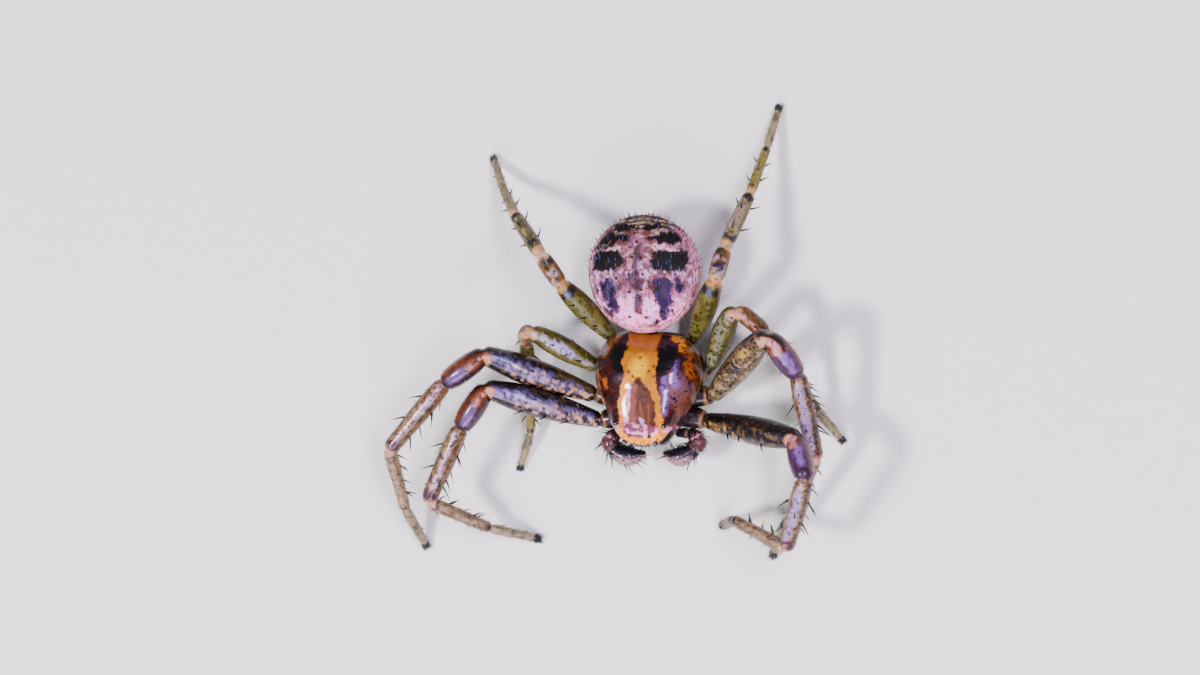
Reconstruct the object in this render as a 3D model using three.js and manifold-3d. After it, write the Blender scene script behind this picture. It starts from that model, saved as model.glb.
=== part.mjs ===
import * as THREE from "three";
import { mergeVertices } from "three/addons/utils/BufferGeometryUtils.js";
import Module from "manifold-3d";

// A male ground crab spider at life size, still, standing on its eight feet.
// Lengths are millimetres and angles degrees. The head points to -Y, the back to +Z, the floor is z = 0,
// and headings turn from +X towards +Y. The animal's left side is +X.
const wasm = await Module();
wasm.setup();

const GAP = 0.04;
const MERGE_DISTANCE = 1e-3;
const UP = new THREE.Vector3(0, 0, 1);

// Carapace, from its own middle: its reach every 20 degrees, from the front round to the rear.
const CARAPACE_REACH = [1.27, 1.24, 1.1, 1.01, 1.08, 1.22, 1.34, 1.4, 1.3, 1.19];
const CARAPACE_X = -0.03;
const CARAPACE_MARGIN = 1.12;
const CARAPACE_HEIGHT = 0.9;
const CARAPACE_FALL_TO_FRONT = 0.1;
const CARAPACE_TURN = -3;
const CARAPACE_COLUMNS = 36;
const CARAPACE_ROWS = 9;
const CARAPACE_BOXINESS = { side: 2.3, front: 5, rear: 1.7 };

// Abdomen, an egg that is flattened on top, seen from above broadest behind its middle.
const ABDOMEN_MIDDLE = new THREE.Vector3(-0.08, 2.54, 1.36);
const ABDOMEN = { halfWidth: 1.235, front: 1.34, rear: 1.22, top: 0.56, bottom: 0.64, boxiness: 2.25 };
const ABDOMEN_COLUMNS = 32;
const ABDOMEN_ROWS = 7;

// Underside of the body.
const STERNUM_MIDDLE = new THREE.Vector3(0, -0.02, 0.84);
const STERNUM = { halfWidth: 0.52, halfLength: 0.72, halfHeight: 0.2, columns: 20, rows: 4, boxiness: 2.2 };
const PEDICEL = { start: 0.9, end: 1.29, radius: 0.12, height: 0.95 };
const SPINNERET_ROOT = new THREE.Vector3(-0.08, 3.57, 0.91);
const SPINNERET = { radius: 0.06, length: 0.2, spread: 0.09, lean: -45 };
const CHELICERA_ROOT = new THREE.Vector3(0.2, -1.06, 1.08);
const CHELICERA = { length: 0.5, radius: 0.18, fangLength: 0.2, fangRadius: 0.05 };

// Palp: points and radii from its root beside the mouth, round its knee and along its swollen end.
const PALP = [
  { point: [0.5, -0.98, 0.74], radius: 0.09 },
  { point: [0.82, -1.0, 0.81], radius: 0.14 },
  { point: [0.98, -1.16, 0.86], radius: 0.2 },
  { point: [0.87, -1.36, 0.88], radius: 0.17 },
  { point: [0.56, -1.49, 0.84], radius: 0.22 },
  { point: [0.2, -1.43, 0.78], radius: 0.06 },
];
const PALP_CUT = 0.6;
const PALP_SPINES = [
  { turn: 20, at: 0.3, length: 0.16 },
  { turn: -70, at: 0.42, length: 0.3 },
  { turn: -30, at: 0.52, length: 0.26 },
  { turn: -95, at: 0.56, length: 0.32 },
];

// Eyes: distance from the middle line, degrees up the face from the margin, and radius.
const EYES = {
  anterior_median: { x: 0.15, rise: 22, radius: 0.045 },
  anterior_lateral: { x: 0.32, rise: 30, radius: 0.065 },
  posterior_median: { x: 0.22, rise: 50, radius: 0.045 },
  posterior_lateral: { x: 0.52, rise: 50, radius: 0.06 },
};
const TUBERCLE_RADIUS = 0.13;

// Legs, by pair from the head: root at the sternum, root of the femur, and segment lengths.
const SEGMENTS = ["femur", "patella", "tibia", "metatarsus", "tarsus"];
const HIP_HEIGHT = 0.84;
const ROOT_HEIGHT = 0.9;
const TIP_HEIGHT = 0.1;
const PAIRS = {
  1: { hip: [0.3, -0.5], root: [1.2, -0.7], lengths: [2.58, 1.05, 1.8, 1.55, 1.15] },
  2: { hip: [0.36, -0.18], root: [1.32, -0.15], lengths: [2.6, 1.1, 1.95, 1.6, 1.15] },
  3: { hip: [0.36, 0.18], root: [1.27, 0.46], lengths: [1.76, 0.82, 1.17, 1.02, 0.92] },
  4: { hip: [0.24, 0.48], root: [0.93, 1.12], lengths: [1.8, 0.8, 1.42, 1.18, 1.0] },
};
const BEND_RADIUS = 0.23;
const SHORT_STEP = 0.1;

// Radius at a segment's two ends, and how far it swells between them.
const FRONT_LEG = {
  coxa: { start: 0.22, end: 0.19, swell: 0.05, sides: 9 },
  femur: { start: 0.19, end: 0.19, swell: 0.105, sides: 9 },
  patella: { start: 0.19, end: 0.19, swell: 0.07, sides: 9 },
  tibia: { start: 0.19, end: 0.16, swell: 0.06, sides: 9 },
  metatarsus: { start: 0.16, end: 0.14, swell: 0.03, sides: 8 },
  tarsus: { start: 0.14, end: 0.11, swell: 0.02, sides: 8 },
};
const REAR_LEG = {
  coxa: { start: 0.21, end: 0.18, swell: 0.05, sides: 9 },
  femur: { start: 0.17, end: 0.18, swell: 0.08, sides: 9 },
  patella: { start: 0.17, end: 0.16, swell: 0.05, sides: 9 },
  tibia: { start: 0.16, end: 0.14, swell: 0.06, sides: 9 },
  metatarsus: { start: 0.14, end: 0.12, swell: 0.03, sides: 8 },
  tarsus: { start: 0.12, end: 0.11, swell: 0.02, sides: 8 },
};

// Spines: rows by turn from a segment's top towards the head, fractions along it, and length. A row with
// a pair is on that pair of legs alone.
const SPINE = { radius: 0.045, sides: 5, sink: 0.07, lean: 42, floorClearance: 0.06 };
const SPINE_VARIATION = { length: 0.15, turn: 10, lean: 8, at: 0.03 };
const SPINE_SEED = 11;
const FRONT_SPINES = {
  femur: [
    { turn: -20, at: [0.36, 0.58], length: 0.3 },
    { turn: 50, at: [0.3, 0.48, 0.68], length: 0.28, pair: 1 },
  ],
  patella: [],
  tibia: [
    { turn: 140, at: [0.18, 0.37, 0.56, 0.75], length: 0.42 },
    { turn: -140, at: [0.14, 0.33, 0.52, 0.71], length: 0.42 },
    { turn: 85, at: [0.32, 0.7], length: 0.3 },
    { turn: -80, at: [0.28, 0.6], length: 0.34 },
  ],
  metatarsus: [
    { turn: 140, at: [0.12, 0.34, 0.56, 0.78], length: 0.36 },
    { turn: -140, at: [0.16, 0.38, 0.6, 0.82], length: 0.36 },
    { turn: 85, at: [0.28, 0.7], length: 0.22 },
  ],
  tarsus: [],
};
const REAR_SPINES = {
  femur: [{ turn: 10, at: [0.3, 0.52, 0.74], length: 0.3 }],
  patella: [{ turn: 0, at: [0.6], length: 0.2 }],
  tibia: [
    { turn: 5, at: [0.3, 0.68], length: 0.28 },
    { turn: 110, at: [0.36, 0.78], length: 0.26 },
    { turn: -110, at: [0.36, 0.78], length: 0.26 },
  ],
  metatarsus: [
    { turn: 100, at: [0.3, 0.66], length: 0.2 },
    { turn: -100, at: [0.3, 0.66], length: 0.2 },
  ],
  tarsus: [],
};

// Bristles of the abdomen, as rows by rise from its widest level, with the share of the way round from
// one flank over the rear to the other.
const BRISTLE = { radius: 0.028, length: 0.17, sides: 4, sink: 0.05, lean: 25 };
const BRISTLE_ROWS = [
  { rise: 6, count: 13 },
  { rise: 34, count: 11 },
  { rise: 58, count: 7 },
];

// Pose: each segment's heading, and the lift of all but the tarsus, which comes down to the floor.
const POSE = {
  right_1: { heading: [164, -128, -116, -30, -14], lift: [24, -7, -11, -36] },
  left_1: { heading: [-10, -69, -113, 158, -164], lift: [28, 32, -29, -26] },
  right_2: { heading: [159, -147, -132, -87, -72], lift: [25, -4, -7, -34] },
  left_2: { heading: [37, -56, -83, -119, -120], lift: [39, -31, -23, -21] },
  right_3: { heading: [148, -147, -93, -95, -112], lift: [36, -63, -28, -17] },
  left_3: { heading: [56, -38, -60, -63, -56], lift: [35, -27, -29, -26] },
  right_4: { heading: [127, 120, 132, 131, 120], lift: [39, 22, -33, -48] },
  left_4: { heading: [59, 79, 72, 76, 78], lift: [39, -24, -31, -27] },
};

const LOOKS = {
  carapace: [0x6b3410, 0.22],
  abdomen: [0xc9aca6, 0.6],
  sternum: [0x5a3f26, 0.45],
  pedicel: [0x4a3220, 0.5],
  spinnerets: [0x8d7566, 0.6],
  chelicera: [0x59331c, 0.3],
  palp: [0x3d2a33, 0.35],
  eye: [0x0a0709, 0.08],
  front_leg: [0x4a3a44, 0.4],
  rear_leg: [0x7d7034, 0.45],
};

const radians = THREE.MathUtils.degToRad;
const vector = (x, y, z) => new THREE.Vector3(x, y, z);

function solid(geometry) {
  const bare = new THREE.BufferGeometry();
  bare.setAttribute("position", geometry.getAttribute("position"));
  bare.setIndex(geometry.getIndex());
  const merged = mergeVertices(bare, MERGE_DISTANCE);
  const triVerts = new Uint32Array(merged.getIndex().array);
  const vertProperties = merged.getAttribute("position").array;
  return new wasm.Manifold(new wasm.Mesh({ numProp: 3, vertProperties, triVerts }));
}

// The geometry of a solid's largest closed surface.
function geometryOf(manifold) {
  const largest = manifold.decompose().reduce((best, body) => (body.volume() > best.volume() ? body : best));
  const mesh = largest.getMesh();
  const geometry = new THREE.BufferGeometry();
  geometry.setAttribute("position", new THREE.BufferAttribute(mesh.vertProperties, 3));
  geometry.setIndex(new THREE.BufferAttribute(mesh.triVerts, 1));
  geometry.computeVertexNormals();
  return geometry;
}

function node(name, geometry, look, position = vector(0, 0, 0)) {
  const [color, roughness] = LOOKS[look];
  const mesh = new THREE.Mesh(geometry, new THREE.MeshStandardMaterial({ color, roughness, metalness: 0 }));
  mesh.name = name;
  mesh.position.copy(position);
  return mesh;
}

// A turned solid whose points are moved to place(angle, radius, height).
function reshaped(profile, columns, place) {
  const geometry = new THREE.LatheGeometry(profile, columns);
  const position = geometry.getAttribute("position");
  for (let i = 0; i < position.count; i++) {
    const x = position.getZ(i);
    const y = position.getX(i);
    const point = place(Math.atan2(y, x), Math.hypot(x, y), position.getY(i));
    position.setXYZ(i, point.x, point.y, point.z);
  }
  return geometry;
}

// Cosine and sine of a rise in degrees, pushed out towards a box.
function boxed(rise, boxiness) {
  const across = Math.max(0, Math.cos(radians(rise))) ** (2 / boxiness);
  const sine = Math.sin(radians(rise));
  return { across, up: Math.sign(sine) * Math.abs(sine) ** (2 / boxiness) };
}

// Profile of radius 1 whose heights are rises in degrees, closed on the axis at both poles.
function riseProfile(lowest, rowsBelow, rowsAbove) {
  const profile = [];
  for (let row = -rowsBelow; row <= rowsAbove; row++) {
    const rise = row < 0 ? (-lowest * row) / rowsBelow : (90 * row) / rowsAbove;
    const pole = row === rowsAbove || (row === -rowsBelow && rowsBelow > 0);
    profile.push(new THREE.Vector2(pole ? 0 : 1, rise));
  }
  return profile;
}

// Carapace: a dome with a steep high face in front, level on top and falling away behind.
const carapaceReach = new THREE.SplineCurve(CARAPACE_REACH.map((reach, i) => new THREE.Vector2(i, reach)));

function carapacePoint(angle, rise) {
  const fromFront = Math.abs(THREE.MathUtils.euclideanModulo(angle + 1.5 * Math.PI, 2 * Math.PI) - Math.PI);
  const turn = fromFront / Math.PI;
  const { side, front, rear } = CARAPACE_BOXINESS;
  const ahead = Math.sin(angle) < 0;
  const share = Math.abs(Math.sin(angle)) ** (ahead ? 1.5 : 3);
  const { across, up } = boxed(rise, THREE.MathUtils.lerp(side, ahead ? front : rear, share));
  const reach = carapaceReach.getPoint(turn).y * across;
  const y = reach * Math.sin(angle);
  const height = CARAPACE_HEIGHT - CARAPACE_FALL_TO_FRONT * Math.max(0, 0.3 - y);
  return vector(reach * Math.cos(angle), y, CARAPACE_MARGIN + height * up);
}

function carapaceGeometry() {
  const profile = riseProfile(0, 0, CARAPACE_ROWS);
  profile.unshift(new THREE.Vector2(0, -1));
  return reshaped(profile, CARAPACE_COLUMNS, (angle, radius, rise) => {
    if (rise < 0) return vector(0, 0, CARAPACE_MARGIN);
    return carapacePoint(angle, rise);
  });
}

// The place on the face at a distance from the middle line, and the way the face looks there.
function faceFrame(x, rise) {
  let angle = -Math.PI / 2;
  for (let step = 0; step < 20; step++) {
    angle += (x - carapacePoint(angle, rise).x) * 0.8;
  }
  const point = carapacePoint(angle, rise);
  const across = carapacePoint(angle + 0.01, rise).sub(carapacePoint(angle - 0.01, rise));
  const up = carapacePoint(angle, rise + 1).sub(carapacePoint(angle, rise - 1));
  return { point, outward: across.cross(up).normalize() };
}

const eyeGeometry = (radius) => new THREE.SphereGeometry(radius, 8, 6);

function head() {
  const group = new THREE.Group();
  group.position.x = CARAPACE_X;
  group.rotation.z = radians(CARAPACE_TURN);
  const eyes = [];
  let carapace = solid(carapaceGeometry());
  for (const [kind, { x, rise, radius }] of Object.entries(EYES)) {
    for (const [side, sign] of [["right", -1], ["left", 1]]) {
      const { point, outward } = faceFrame(sign * x, rise);
      const lateral = kind.endsWith("lateral");
      if (lateral) {
        const mound = new THREE.SphereGeometry(TUBERCLE_RADIUS, 10, 8);
        const middle = point.clone().addScaledVector(outward, -0.55 * TUBERCLE_RADIUS);
        carapace = carapace.add(solid(mound.translate(middle.x, middle.y, middle.z)));
      }
      const lift = (lateral ? 0.35 * TUBERCLE_RADIUS : 0) + 0.1 * radius;
      const centre = point.clone().addScaledVector(outward, lift);
      eyes.push({ name: `eye_${kind}_${side}`, radius, centre });
    }
  }
  for (const { name, radius, centre } of eyes) {
    const socket = eyeGeometry(radius + GAP / 2).translate(centre.x, centre.y, centre.z);
    carapace = carapace.subtract(solid(socket));
    group.add(node(name, eyeGeometry(radius), "eye", centre));
  }
  group.add(node("carapace", geometryOf(carapace), "carapace"));
  return group;
}

function abdomenPoint(angle, rise) {
  const { halfWidth, front, rear, top, bottom, boxiness } = ABDOMEN;
  const { across, up } = boxed(rise, boxiness);
  const y = (Math.sin(angle) < 0 ? front : rear) * across * Math.sin(angle);
  return vector(halfWidth * across * Math.cos(angle), y, (up < 0 ? bottom : top) * up);
}

function abdomen() {
  const profile = riseProfile(-90, ABDOMEN_ROWS, ABDOMEN_ROWS);
  let body = solid(reshaped(profile, ABDOMEN_COLUMNS, (angle, radius, rise) => {
    return radius === 0 ? vector(0, 0, rise < 0 ? -ABDOMEN.bottom : ABDOMEN.top) : abdomenPoint(angle, rise);
  }));
  for (const { rise, count } of BRISTLE_ROWS) {
    for (let i = 0; i < count; i++) {
      const angle = Math.PI * ((i + 0.5) / count);
      const root = abdomenPoint(angle, rise);
      const around = abdomenPoint(angle + 0.02, rise).sub(abdomenPoint(angle - 0.02, rise));
      const up = abdomenPoint(angle, rise + 2).sub(abdomenPoint(angle, rise - 2)).normalize();
      const outward = around.cross(up).normalize();
      const lean = radians(BRISTLE.lean);
      const backwards = vector(0, Math.sin(lean), 0);
      const direction = outward.multiplyScalar(Math.cos(lean)).add(backwards);
      body = body.add(thorn(BRISTLE, BRISTLE.length, root, direction.normalize()));
    }
  }
  return node("abdomen", geometryOf(body), "abdomen", ABDOMEN_MIDDLE);
}

// A round solid along a curve: radiusAt gives its radius at a fraction of the way.
function along(curve, distances, radiusAt, sides) {
  const length = curve.getLength();
  const start = distances[0];
  const end = distances[distances.length - 1];
  const profile = [new THREE.Vector2(0, start)];
  for (const distance of distances) {
    profile.push(new THREE.Vector2(radiusAt(distance / length), distance));
  }
  profile.push(new THREE.Vector2(0, end));
  return reshaped(profile, sides, (angle, radius, distance) => {
    const { point, side, lift } = frameAt(curve, distance / length);
    return aside(point, side, lift, radius, angle);
  });
}

// The point at a distance from a curve's point, at an angle from its side towards its top.
function aside(point, side, lift, distance, angle) {
  point.addScaledVector(side, distance * Math.cos(angle));
  return point.addScaledVector(lift, distance * Math.sin(angle));
}

function frameAt(curve, fraction) {
  const point = curve.getPoint(THREE.MathUtils.clamp(fraction, 0, 1));
  const tangent = curve.getTangent(THREE.MathUtils.clamp(fraction, 0, 1));
  const side = vector(0, 0, 0).crossVectors(UP, tangent).normalize();
  const lift = vector(0, 0, 0).crossVectors(tangent, side);
  return { point, tangent, side, lift };
}

// Numbers from 0 to 1, the same ones at every run.
function randomNumbers(seed) {
  let state = seed;
  return () => {
    state = (Math.imul(state, 1664525) + 1013904223) >>> 0;
    return state / 2 ** 32;
  };
}

// A thorn with its root sunk below a surface point, leaning off the surface's outward direction.
function thorn({ radius, sides, sink }, length, root, direction) {
  const cone = new THREE.ConeGeometry(radius, length + sink, sides).translate(0, (length + sink) / 2, 0);
  cone.applyQuaternion(new THREE.Quaternion().setFromUnitVectors(vector(0, 1, 0), direction));
  const start = root.clone().addScaledVector(direction, -sink);
  return solid(cone.translate(start.x, start.y, start.z));
}

function spinesOf(curve, sizes, rows, towardsHead, random) {
  const vary = (amount) => amount * (2 * random() - 1);
  const thorns = [];
  for (const { turn, at, length } of rows) {
    for (const place of at) {
      const fraction = place + vary(SPINE_VARIATION.at);
      const angle = radians(turn + vary(SPINE_VARIATION.turn));
      const lean = radians(SPINE.lean + vary(SPINE_VARIATION.lean));
      const reach = length * (1 + vary(SPINE_VARIATION.length));
      const { point, tangent, side, lift } = frameAt(curve, fraction);
      const outward = aside(vector(0, 0, 0), side.multiplyScalar(towardsHead), lift, 1, Math.PI / 2 - angle);
      const root = point.addScaledVector(outward, segmentRadius(sizes, fraction));
      const direction = outward.multiplyScalar(Math.cos(lean)).addScaledVector(tangent, Math.sin(lean));
      if (root.z + reach * direction.z < SPINE.floorClearance) continue;
      thorns.push(thorn(SPINE, reach, root, direction.normalize()));
    }
  }
  return thorns;
}

// Legs: the joints stand on the middle line, which turns through each of them in a short bend.
function legJoints(name) {
  const pair = PAIRS[name.slice(-1)];
  const sign = name.startsWith("right") ? -1 : 1;
  const joints = [
    vector(sign * pair.hip[0], pair.hip[1], HIP_HEIGHT),
    vector(sign * pair.root[0], pair.root[1], ROOT_HEIGHT),
  ];
  const { heading, lift } = POSE[name];
  pair.lengths.forEach((length, i) => {
    const last = joints[joints.length - 1];
    const rise = i < lift.length ? radians(lift[i]) : Math.asin((TIP_HEIGHT - last.z) / length);
    const turn = radians(heading[i]);
    const level = length * Math.cos(rise);
    joints.push(vector(level * Math.cos(turn), level * Math.sin(turn), length * Math.sin(rise)).add(last));
  });
  return joints;
}

class Reversed extends THREE.Curve {
  constructor(curve) {
    super();
    this.curve = curve;
  }

  getPoint(share) {
    return this.curve.getPoint(1 - share);
  }
}

// A round bend that starts along one way and turns inwards by an angle.
class Bend extends THREE.Curve {
  constructor(start, direction, inward, angle) {
    super();
    Object.assign(this, { start, direction, inward, angle });
  }

  getPoint(share) {
    const angle = share * this.angle;
    const ahead = BEND_RADIUS * Math.sin(angle);
    const inwards = BEND_RADIUS * (1 - Math.cos(angle));
    return this.start.clone().addScaledVector(this.direction, ahead).addScaledVector(this.inward, inwards);
  }
}

const unit = (from, to) => to.clone().sub(from).normalize();

// The middle lines of the segments between the joints, each from half a bend to half a bend.
function legCurves(joints) {
  const corners = joints.map((joint, i) => {
    if (i === 0 || i === joints.length - 1) return joint.clone();
    const outward = unit(joints[i - 1], joint).sub(unit(joint, joints[i + 1]));
    const halfTurn = Math.asin(outward.length() / 2);
    return joint.clone().addScaledVector(outward.normalize(), BEND_RADIUS * (1 / Math.cos(halfTurn) - 1));
  });
  const halfTurnAt = (i) => unit(corners[i - 1], corners[i]).angleTo(unit(corners[i], corners[i + 1])) / 2;
  const curves = [];
  for (let i = 0; i + 1 < corners.length; i++) {
    const direction = unit(corners[i], corners[i + 1]);
    const path = new THREE.CurvePath();
    const start = corners[i].clone();
    const end = corners[i + 1].clone();
    if (i > 0) {
      const halfTurn = halfTurnAt(i);
      const before = unit(corners[i - 1], corners[i]);
      start.addScaledVector(direction, BEND_RADIUS * Math.tan(halfTurn));
      const inward = before.negate().addScaledVector(direction, -before.dot(direction)).normalize();
      const half = new Bend(start.clone(), direction.clone().negate(), inward, halfTurn);
      path.add(new Reversed(half));
    }
    const last = i + 2 < corners.length ? halfTurnAt(i + 1) : 0;
    end.addScaledVector(direction, -BEND_RADIUS * Math.tan(last));
    path.add(new THREE.LineCurve3(start, end));
    if (last > 0) {
      const after = unit(corners[i + 1], corners[i + 2]);
      const inward = after.addScaledVector(direction, -after.dot(direction)).normalize();
      path.add(new Bend(end.clone(), direction.clone(), inward, last));
    }
    curves.push(path);
  }
  return curves;
}

function segmentRadius({ start, end, swell }, fraction) {
  return THREE.MathUtils.lerp(start, end, fraction) + swell * Math.sin(Math.PI * fraction) ** 0.7;
}

// Rings of a segment: close together in its bends, and the ends half a gap short of the joints.
function ringDistances(curve) {
  const length = curve.getLength();
  const bends = curve.curves.map((piece) => (piece.isLineCurve3 ? 0 : piece.getLength()));
  const first = Math.max(bends[0], SHORT_STEP);
  const last = Math.max(bends[bends.length - 1], SHORT_STEP);
  const inBend = (reach) => (reach > 2 * SHORT_STEP ? [reach / 2, reach] : [reach]);
  const atEnd = inBend(last).map((reach) => length - reach).reverse();
  return [GAP / 2, ...inBend(first), length / 2, ...atEnd, length - GAP / 2];
}

function segmentGeometry(curve, sizes) {
  return along(curve, ringDistances(curve), (fraction) => segmentRadius(sizes, fraction), sizes.sides);
}

// The tarsus ends in a round tip that stands on the floor on a small flat.
function tarsusGeometry(curve, sizes) {
  const length = curve.getLength();
  const tip = sizes.end;
  const distances = [GAP / 2, 0.15, 0.5 * length, length - 0.3, length];
  const radiusAt = (fraction) => segmentRadius(sizes, fraction);
  const rounded = [30, 60].map((angle) => {
    return { out: tip * Math.sin(radians(angle)), radius: tip * Math.cos(radians(angle)) };
  });
  const profile = [new THREE.Vector2(0, distances[0])];
  for (const distance of distances) profile.push(new THREE.Vector2(radiusAt(distance / length), distance));
  for (const { out, radius } of rounded) profile.push(new THREE.Vector2(radius, length + out));
  profile.push(new THREE.Vector2(0, length + tip));
  return reshaped(profile, sizes.sides, (angle, radius, distance) => {
    const { point, tangent, side, lift } = frameAt(curve, distance / length);
    point.addScaledVector(tangent, Math.max(0, distance - length));
    aside(point, side, lift, radius, angle);
    return vector(point.x, point.y, Math.max(0, point.z));
  });
}

function leg(name, random) {
  const group = new THREE.Group();
  const pair = Number(name.slice(-1));
  const front = pair < 3;
  const sizes = front ? FRONT_LEG : REAR_LEG;
  const spines = front ? FRONT_SPINES : REAR_SPINES;
  const towardsHead = name.startsWith("right") ? 1 : -1;
  const curves = legCurves(legJoints(name));
  SEGMENTS.forEach((segment, i) => {
    const curve = curves[i + 1];
    const rows = spines[segment].filter((row) => row.pair === undefined || row.pair === pair);
    const thorns = spinesOf(curve, sizes[segment], rows, towardsHead, random);
    const shape = segment === "tarsus" ? tarsusGeometry : segmentGeometry;
    const body = thorns.reduce((joined, spine) => joined.add(spine), solid(shape(curve, sizes[segment])));
    group.add(node(`leg_${name}_${segment}`, geometryOf(body), front ? "front_leg" : "rear_leg"));
  });
  return group;
}

// Sternum with the mouth parts before it and the eight coxae around it.
function sternum() {
  const { halfWidth, halfLength, halfHeight, columns, rows, boxiness } = STERNUM;
  const shield = reshaped(riseProfile(-90, rows, rows), columns, (angle, radius, rise) => {
    const { across, up } = boxed(rise, boxiness);
    const x = radius === 0 ? 0 : halfWidth * across * Math.cos(angle);
    const y = radius === 0 ? 0 : halfLength * across * Math.sin(angle);
    return vector(x, y, halfHeight * up).add(STERNUM_MIDDLE);
  });
  let body = solid(shield);
  for (const name of Object.keys(POSE)) {
    const sizes = Number(name.slice(-1)) < 3 ? FRONT_LEG : REAR_LEG;
    body = body.add(solid(segmentGeometry(legCurves(legJoints(name))[0], sizes.coxa)));
  }
  for (const sign of [-1, 1]) {
    const lip = new THREE.SphereGeometry(0.16, 10, 7).scale(0.8, 1.4, 0.8);
    body = body.add(solid(lip.translate(0.17 * sign, -0.6, 0.78)));
  }
  return node("sternum", geometryOf(body), "sternum");
}

function pedicel() {
  const { start, end, radius, height } = PEDICEL;
  const geometry = new THREE.CylinderGeometry(radius, radius, end - start, 12);
  return node("pedicel", geometry, "pedicel", vector(0, (start + end) / 2, height));
}

// Six short cones on a low disc, pointing back and down.
function spinnerets() {
  const { radius, length, spread, lean } = SPINNERET;
  const disc = new THREE.CylinderGeometry(spread + 0.8 * radius, spread + 1.3 * radius, radius, 12);
  let body = solid(disc.translate(0, radius / 2, 0));
  for (const turn of [0, 60, 120, 180, 240, 300]) {
    const cone = new THREE.CylinderGeometry(0.5 * radius, radius, length, 6).translate(0, length / 2, 0);
    cone.translate(spread * Math.cos(radians(turn)), 0.3 * radius, spread * Math.sin(radians(turn)));
    body = body.add(solid(cone));
  }
  return node("spinnerets", geometryOf(body).rotateX(radians(lean)), "spinnerets", SPINNERET_ROOT);
}

function chelicera(side, sign) {
  const { length, radius, fangLength, fangRadius } = CHELICERA;
  const profile = [[0, -length], [0.6, -length], [0.9, -0.7 * length], [1, -0.3 * length], [0.8, 0], [0, 0]];
  const points = profile.map(([share, height]) => new THREE.Vector2(share * radius, height));
  const base = reshaped(points, 12, (angle, out, height) => {
    return vector(out * Math.cos(angle), out * Math.sin(angle), height);
  });
  const fang = new THREE.ConeGeometry(fangRadius, fangLength, 8).translate(0, fangLength / 2, 0);
  fang.rotateX(radians(-75)).rotateZ(radians(-60 * sign)).translate(0.05 * sign, 0.02, 0.06 - length);
  const position = vector(sign * CHELICERA_ROOT.x, CHELICERA_ROOT.y, CHELICERA_ROOT.z);
  return node(`chelicera_${side}`, geometryOf(solid(base).add(solid(fang))), "chelicera", position);
}

function palpPiece(name, start, end, sign) {
  const points = PALP.map(({ point: [x, y, z] }) => vector(sign * x, y, z));
  const curve = new THREE.CatmullRomCurve3(points);
  const radii = new THREE.SplineCurve(PALP.map(({ radius }, i) => new THREE.Vector2(i, radius)));
  const length = curve.getLength();
  const rings = 6;
  const distances = Array.from({ length: rings }, (_, i) => {
    return length * THREE.MathUtils.lerp(start, end, i / (rings - 1));
  });
  const radiusAt = (fraction) => radii.getPoint(fraction).y;
  let body = solid(along(curve, distances, radiusAt, 9));
  const spines = PALP_SPINES.filter((spine) => spine.at > start && spine.at < end);
  for (const { turn, at, length: reach } of spines) {
    const { point, side, lift } = frameAt(curve, at);
    const outward = aside(vector(0, 0, 0), side.multiplyScalar(-sign), lift, 1, radians(90 - turn));
    body = body.add(thorn(SPINE, reach, point.addScaledVector(outward, radiusAt(at)), outward));
  }
  return node(name, geometryOf(body), "palp");
}

const model = new THREE.Group();
model.add(head(), abdomen(), sternum(), pedicel(), spinnerets());
for (const [side, sign] of [["right", -1], ["left", 1]]) {
  model.add(chelicera(side, sign));
  model.add(palpPiece(`palp_${side}_arm`, 0, PALP_CUT - GAP / 4, sign));
  model.add(palpPiece(`palp_${side}_club`, PALP_CUT + GAP / 4, 1, sign));
}
const random = randomNumbers(SPINE_SEED);
for (const name of Object.keys(POSE)) model.add(leg(name, random));

// The origin is on the floor, under the middle of the whole animal.
const bounds = new THREE.Box3().setFromObject(model, true);
const middle = bounds.getCenter(vector(0, 0, 0));
model.position.set(-middle.x, -middle.y, -bounds.min.z);
const spider = new THREE.Group();
spider.add(model);

export default spider;
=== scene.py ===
"""Looks of a male ground crab spider: skins, markings, eyes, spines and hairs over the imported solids.

Lengths are millimetres in the model frame, whose x = y = 0 is the carapace's middle and z = 0 the floor. The
tables of marks hold hundredths of a millimetre, of a segment's length or of a full share.
Every mesh is turned into metres in the part's own frame when it is made.
"""

import itertools

import bpy
import numpy as np
from mathutils import Matrix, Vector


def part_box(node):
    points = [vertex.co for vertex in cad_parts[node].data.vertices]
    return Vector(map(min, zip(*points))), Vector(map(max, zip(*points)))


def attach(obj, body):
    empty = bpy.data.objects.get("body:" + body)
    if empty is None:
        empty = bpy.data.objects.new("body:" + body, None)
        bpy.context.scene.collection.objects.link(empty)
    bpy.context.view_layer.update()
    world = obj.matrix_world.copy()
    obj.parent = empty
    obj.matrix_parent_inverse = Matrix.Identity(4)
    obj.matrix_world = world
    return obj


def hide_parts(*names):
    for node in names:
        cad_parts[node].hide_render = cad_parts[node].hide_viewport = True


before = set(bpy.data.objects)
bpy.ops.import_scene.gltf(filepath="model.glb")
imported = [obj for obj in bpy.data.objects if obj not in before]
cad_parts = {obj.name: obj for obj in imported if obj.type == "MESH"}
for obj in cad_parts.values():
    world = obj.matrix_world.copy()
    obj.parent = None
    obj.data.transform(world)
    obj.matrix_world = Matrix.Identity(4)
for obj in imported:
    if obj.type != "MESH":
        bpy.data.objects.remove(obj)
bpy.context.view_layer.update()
MM = 0.001
UP = np.array([0.0, 0.0, 1.0])
RANDOM = np.random.default_rng(5)

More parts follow.
